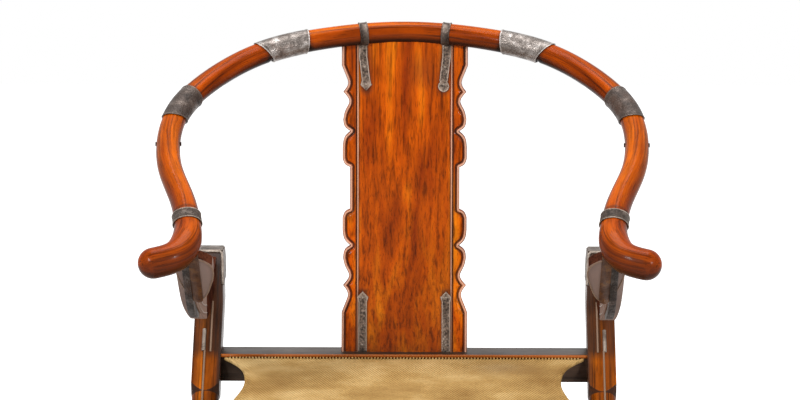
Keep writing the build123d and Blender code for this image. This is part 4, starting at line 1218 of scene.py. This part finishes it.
# Painted shade on them, as places and how dark it is: across the recess, up it, over the seat, on the inner
# side
RECESS_SHADE = ([0.2800, 0.2825], [0.86, 0.0])
RISING_SHADE = ([0.030, 0.050, 0.098, 0.108], [0.60, 0.78, 0.78, 0.92])
OVER_SEAT = ([-0.006, 0.006], [0.0, 1.0])
INNER_SHADE = ([0.2615, 0.2660, 0.2690], [0.85, 0.5, 0.0])
SHOULDER_SHADE, SHOULDER_REACH = 0.85, 0.12     # painted shade on the shoulder, and how far down the leg
LEG_GRAIN = {-1: -0.673, 1: 0.11}               # span at which the left and the right one's grain starts
RAIL_FACE = 0.0221              # where a seat rail's bead begins, from the rail's middle


def up_the_leg(span, low, high):
    """Line up the outer leg's front face, between two rises."""
    return [at(span, LEG_FACE - rise / LEG_SLOPE, SEAT_TOP + rise) for rise in spaced(low, high, 0.02)]


def head_arris():
    """Line on the leg's front face where the square block meets the turned shoulder, in pale wood as the
    painted highlight along that edge.
    """
    line = []
    for across in spaced(-0.0188, 0.0188, 0.0016):
        radius = math.hypot(HALF_SQUARE, across)
        down = SHOULDER_END - SHOULDER * (radius - NECK_RADIUS) / (CORNER_RADIUS - NECK_RADIUS)
        line.append(
            at(LEG_SPAN + across, LEG_FACE, SEAT_TOP) - leg_up.normalized() * (down + HALF_SQUARE / LEG_SLOPE)
        )
    return line


def leg_painted_shade(span, rise, on_shoulder):
    """How dark a place on the outer leg is painted: painted shade on its inner side and its shoulder below the
    seat, and in the recess above it.
    """
    above = max(np.interp(span, *RECESS_SHADE), np.interp(rise, *RISING_SHADE)) * np.interp(rise, *OVER_SEAT)
    inner = np.interp(span, *INNER_SHADE) if rise < 0 else 0.0
    return float(max(above, inner, SHOULDER_SHADE if on_shoulder else 0.0))


def outer_leg(node, side):
    """Leg up to the elbow: orange below the seat, with painted shade round the post's mouldings above it."""
    shell = merged_copy(node)
    mark_worn(shell, (soften(shell, 0.0010), 0.35))
    way, rail_place = leg_up.normalized(), at(0, 0, SEAT_TOP)
    for vert in shell.verts:
        if -HEAD_BLOCK - 0.003 < (vert.co - rail_place).dot(way) < SHOULDER - HEAD_BLOCK + 0.003:
            vert.co -= way * HEAD_SHIFT
    for span in LEG_SPANS:
        cut_across(shell, RIGHT * span * side, RIGHT)
    for rise in LEG_RISES:
        cut_across(shell, UP * (SEAT_TOP + rise), UP)
    shade_layer = shell.loops.layers.float.new("grime_and_shade")
    for face in shell.faces:
        down = -(face.calc_center_median() - rail_place).dot(way)
        flat = abs(face.normal.x) > 0.999 or abs(face.normal.x) < 0.001
        still_square = flat and down < SHOULDER_END - 0.004
        on_shoulder = SHOULDER_START < down < SHOULDER_REACH and not still_square
        for loop in face.loops:
            place = loop.vert.co
            loop[shade_layer] = leg_painted_shade(abs(place.x), place.z - SEAT_TOP, on_shoulder)
    lay_grain(piece_for(node, node + "_wood", shell, leg_wood), leg_up, RIGHT, RIGHT * LEG_GRAIN[side])


def seat_rail(node, middle, grain_start):
    """Rail darkened as painted shade over its dark patina, with painted light in orange along the beads of its
    long sides.
    """
    rail = wooden_copy(node, shaded_seat_rail_wood, RIGHT, UP, edge=0.0014, worn_by=0.0, start=UP * grain_start)
    off_middle = np.abs(MIDDLE_AHEAD - points_of(rail)[:, 1] - middle)
    write_points(rail, "worn", np.interp(off_middle, [RAIL_FACE, RAIL_FACE + 0.0005], [0.0, 1.0]))


# Beads down the legs in pale wood, as the painted highlights along their ridges
wires("leg_beads", [up_the_leg(0.2845, -0.080, 0.006), up_the_leg(0.2762, 0.004, 0.064)], highlight_bead, 0.0014)
wires("leg_straps", [up_the_leg(0.2862, 0.0046, 0.0304)], worn_wire, 0.0027,
      stands_for=("leg_strap_left", "leg_strap_right"))
post_lines = [
    [at(POST_INNER, ahead, SEAT_TOP + rise) for ahead, rise in smooth_line(line, 24)] for line in POST_LINES
]
wires("post_mouldings", post_lines, highlight_bead, 0.0009)
wires("head_arrises", [head_arris()], highlight_bead, 0.0010)
for hand, side in HANDS:
    outer_leg("front_leg" + hand, side)
    grain_start = Vector((0.07 * side, 0.2, 0))
    wooden_copy("rear_leg" + hand, leg_wood, rear_leg_up, RIGHT, edge=0.0010, start=grain_start)
    iron_copy("pivot_pin" + hand, grey_iron, edge=0.0012, segments=3)
    iron_copy("pivot_washers" + hand, grey_iron)
seat_rail("rear_seat_rail", middle=0.0, grain_start=0.0)
seat_rail("front_seat_rail", middle=SEAT_SPAN, grain_start=0.3)
wooden_copy("front_sledge", leg_wood, RIGHT, UP, edge=0.0014, worn_by=0.0, start=UP * 0.6)
wooden_copy("rear_sledge", leg_wood, RIGHT, UP, edge=0.0014, worn_by=0.0, start=UP * 0.9)
for node in ("front_foot_plates", "rear_foot_plates"):
    iron_copy(node, grey_iron)


# ---------------------------------------------------------------- footrest

for node, along, across in (
    ("footrest_board", RIGHT, UP), ("footrest_side_left", AWAY, UP), ("footrest_side_right", AWAY, UP),
    ("footrest_foot_left", UP, RIGHT), ("footrest_foot_right", UP, RIGHT),
    ("footrest_apron", RIGHT, UP), ("footrest_batten", RIGHT, UP),
):
    wooden_copy(node, leg_wood, along, across)
for node in ("footrest_pins", "footrest_plate", "footrest_corners"):
    iron_copy(node, grey_iron)


# ---------------------------------------------------------------- woven seat

RAIL_HALF, MAT_GAP = 0.022, 0.0004              # half a seat rail's depth, and the mat's distance from it
MAT_BACK, MAT_FRONT = RAIL_HALF + MAT_GAP, SEAT_SPAN - RAIL_HALF - MAT_GAP
MAT_LENGTH = MAT_FRONT - MAT_BACK
MAT_TOP, MAT_SAG, MAT_THICK = SEAT_TOP - 0.006, 0.004, 0.003
MAT_HALF = 0.257                # half width along the rails
# Its sides curve in between the rails: share of the way to the front rail, and how far in
MAT_DRAW_IN = [(0.0, 0.0), (0.1, 0.023), (0.23, 0.035), (0.36, 0.037), (0.54, 0.029), (0.76, 0.015), (1.0, 0.0)]
HEM_HALF, HEM_RISE = 0.003, 0.0012              # the rolled edge at each side
MAT_EDGE = 0.0002               # nearer than this to the edge, both faces close in by HEM_RISE
MAT_HELD = 0.012                # the mat keeps to its rails over this length
SHADOW_AT, SHADOW_REACH, SHADOW = (0.142, 0.070), (0.045, 0.035), 0.62      # painted shadow on the mat: its middle and reach as span and ahead, and how dark it is
STITCH_PITCH, STITCH_INSET, STITCH_SINK, STITCH_MARGIN = 0.0046, 0.0026, 0.0004, 0.009

mat_side = smooth_line([(MAT_HALF - drawn, MAT_BACK + share * MAT_LENGTH) for share, drawn in MAT_DRAW_IN], 120)


def mat_half_at(ahead):
    return float(np.interp(ahead, mat_side[:, 1], mat_side[:, 0]))


def mat_level(ahead):
    """Height of the mat's top, which sags a little between the rails."""
    share = (ahead - (MAT_BACK + MAT_FRONT) / 2) / (MAT_LENGTH / 2)
    return MAT_TOP - MAT_SAG * (1 - share**2)


def mat_face(d, u, v):
    """A rolled edge at the sides, then the flat weave."""
    inset = mat_half_at(v) - abs(u)
    roll = math.sqrt(max(0.0, 1 - ((inset - HEM_HALF) / HEM_HALF) ** 2))
    return HEM_RISE * roll - (HEM_RISE if inset < MAT_EDGE else 0.0)


def mat_underside(d, u, v):
    return -MAT_THICK + (HEM_RISE if mat_half_at(v) - abs(u) < MAT_EDGE else 0.0)


def woven_seat():
    """The mat, which keeps to both rails as they come together, with a painted shadow near its right corner."""
    shell = board_in_rows(
        spaced(MAT_BACK, MAT_FRONT, 0.006), lambda v: -mat_half_at(v), mat_half_at,
        [0.0, 0.0006, 0.0015, 0.003, 0.0045, 0.0056, 0.0062, 0.010],
        mat_face, mat_underside, lambda u, v, height: at(u, v, mat_level(v) + height), middles=40,
    )
    mat = make_piece("woven_seat", shell, mat_weave, None, ("seat_mat",), slot_of["seat_mat"], sharp=60)
    places = points_of(mat)
    write_points(mat, "thread", places)
    span, ahead = places[:, 0], MIDDLE_AHEAD - places[:, 1]
    write_points(mat, "grime_and_shade", SHADOW * soft_patch(span, ahead, SHADOW_AT, SHADOW_REACH))
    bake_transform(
        mat, "back_frame", "seat_frame",
        start=at(0, MAT_BACK + MAT_HELD, MAT_TOP), end=at(0, MAT_FRONT - MAT_HELD, MAT_TOP),
    )


def stitches(name, ahead, body):
    """A row of cord stitches along one of the mat's ends."""
    spans = spaced(-MAT_HALF + STITCH_MARGIN, MAT_HALF - STITCH_MARGIN, STITCH_PITCH)
    spots = [at(span, ahead, mat_level(ahead) - STITCH_SINK) for span in spans]
    sizes = {"Loop radius": 0.0024, "Cord radius": 0.0011}
    row = grown(name, spots, [], lacing, sizes, body)
    write_points(row, "thread", points_of(row))


woven_seat()
stitches("rear_lacing", MAT_BACK + STITCH_INSET, "back_frame")
stitches("front_lacing", MAT_FRONT - STITCH_INSET, "seat_frame")
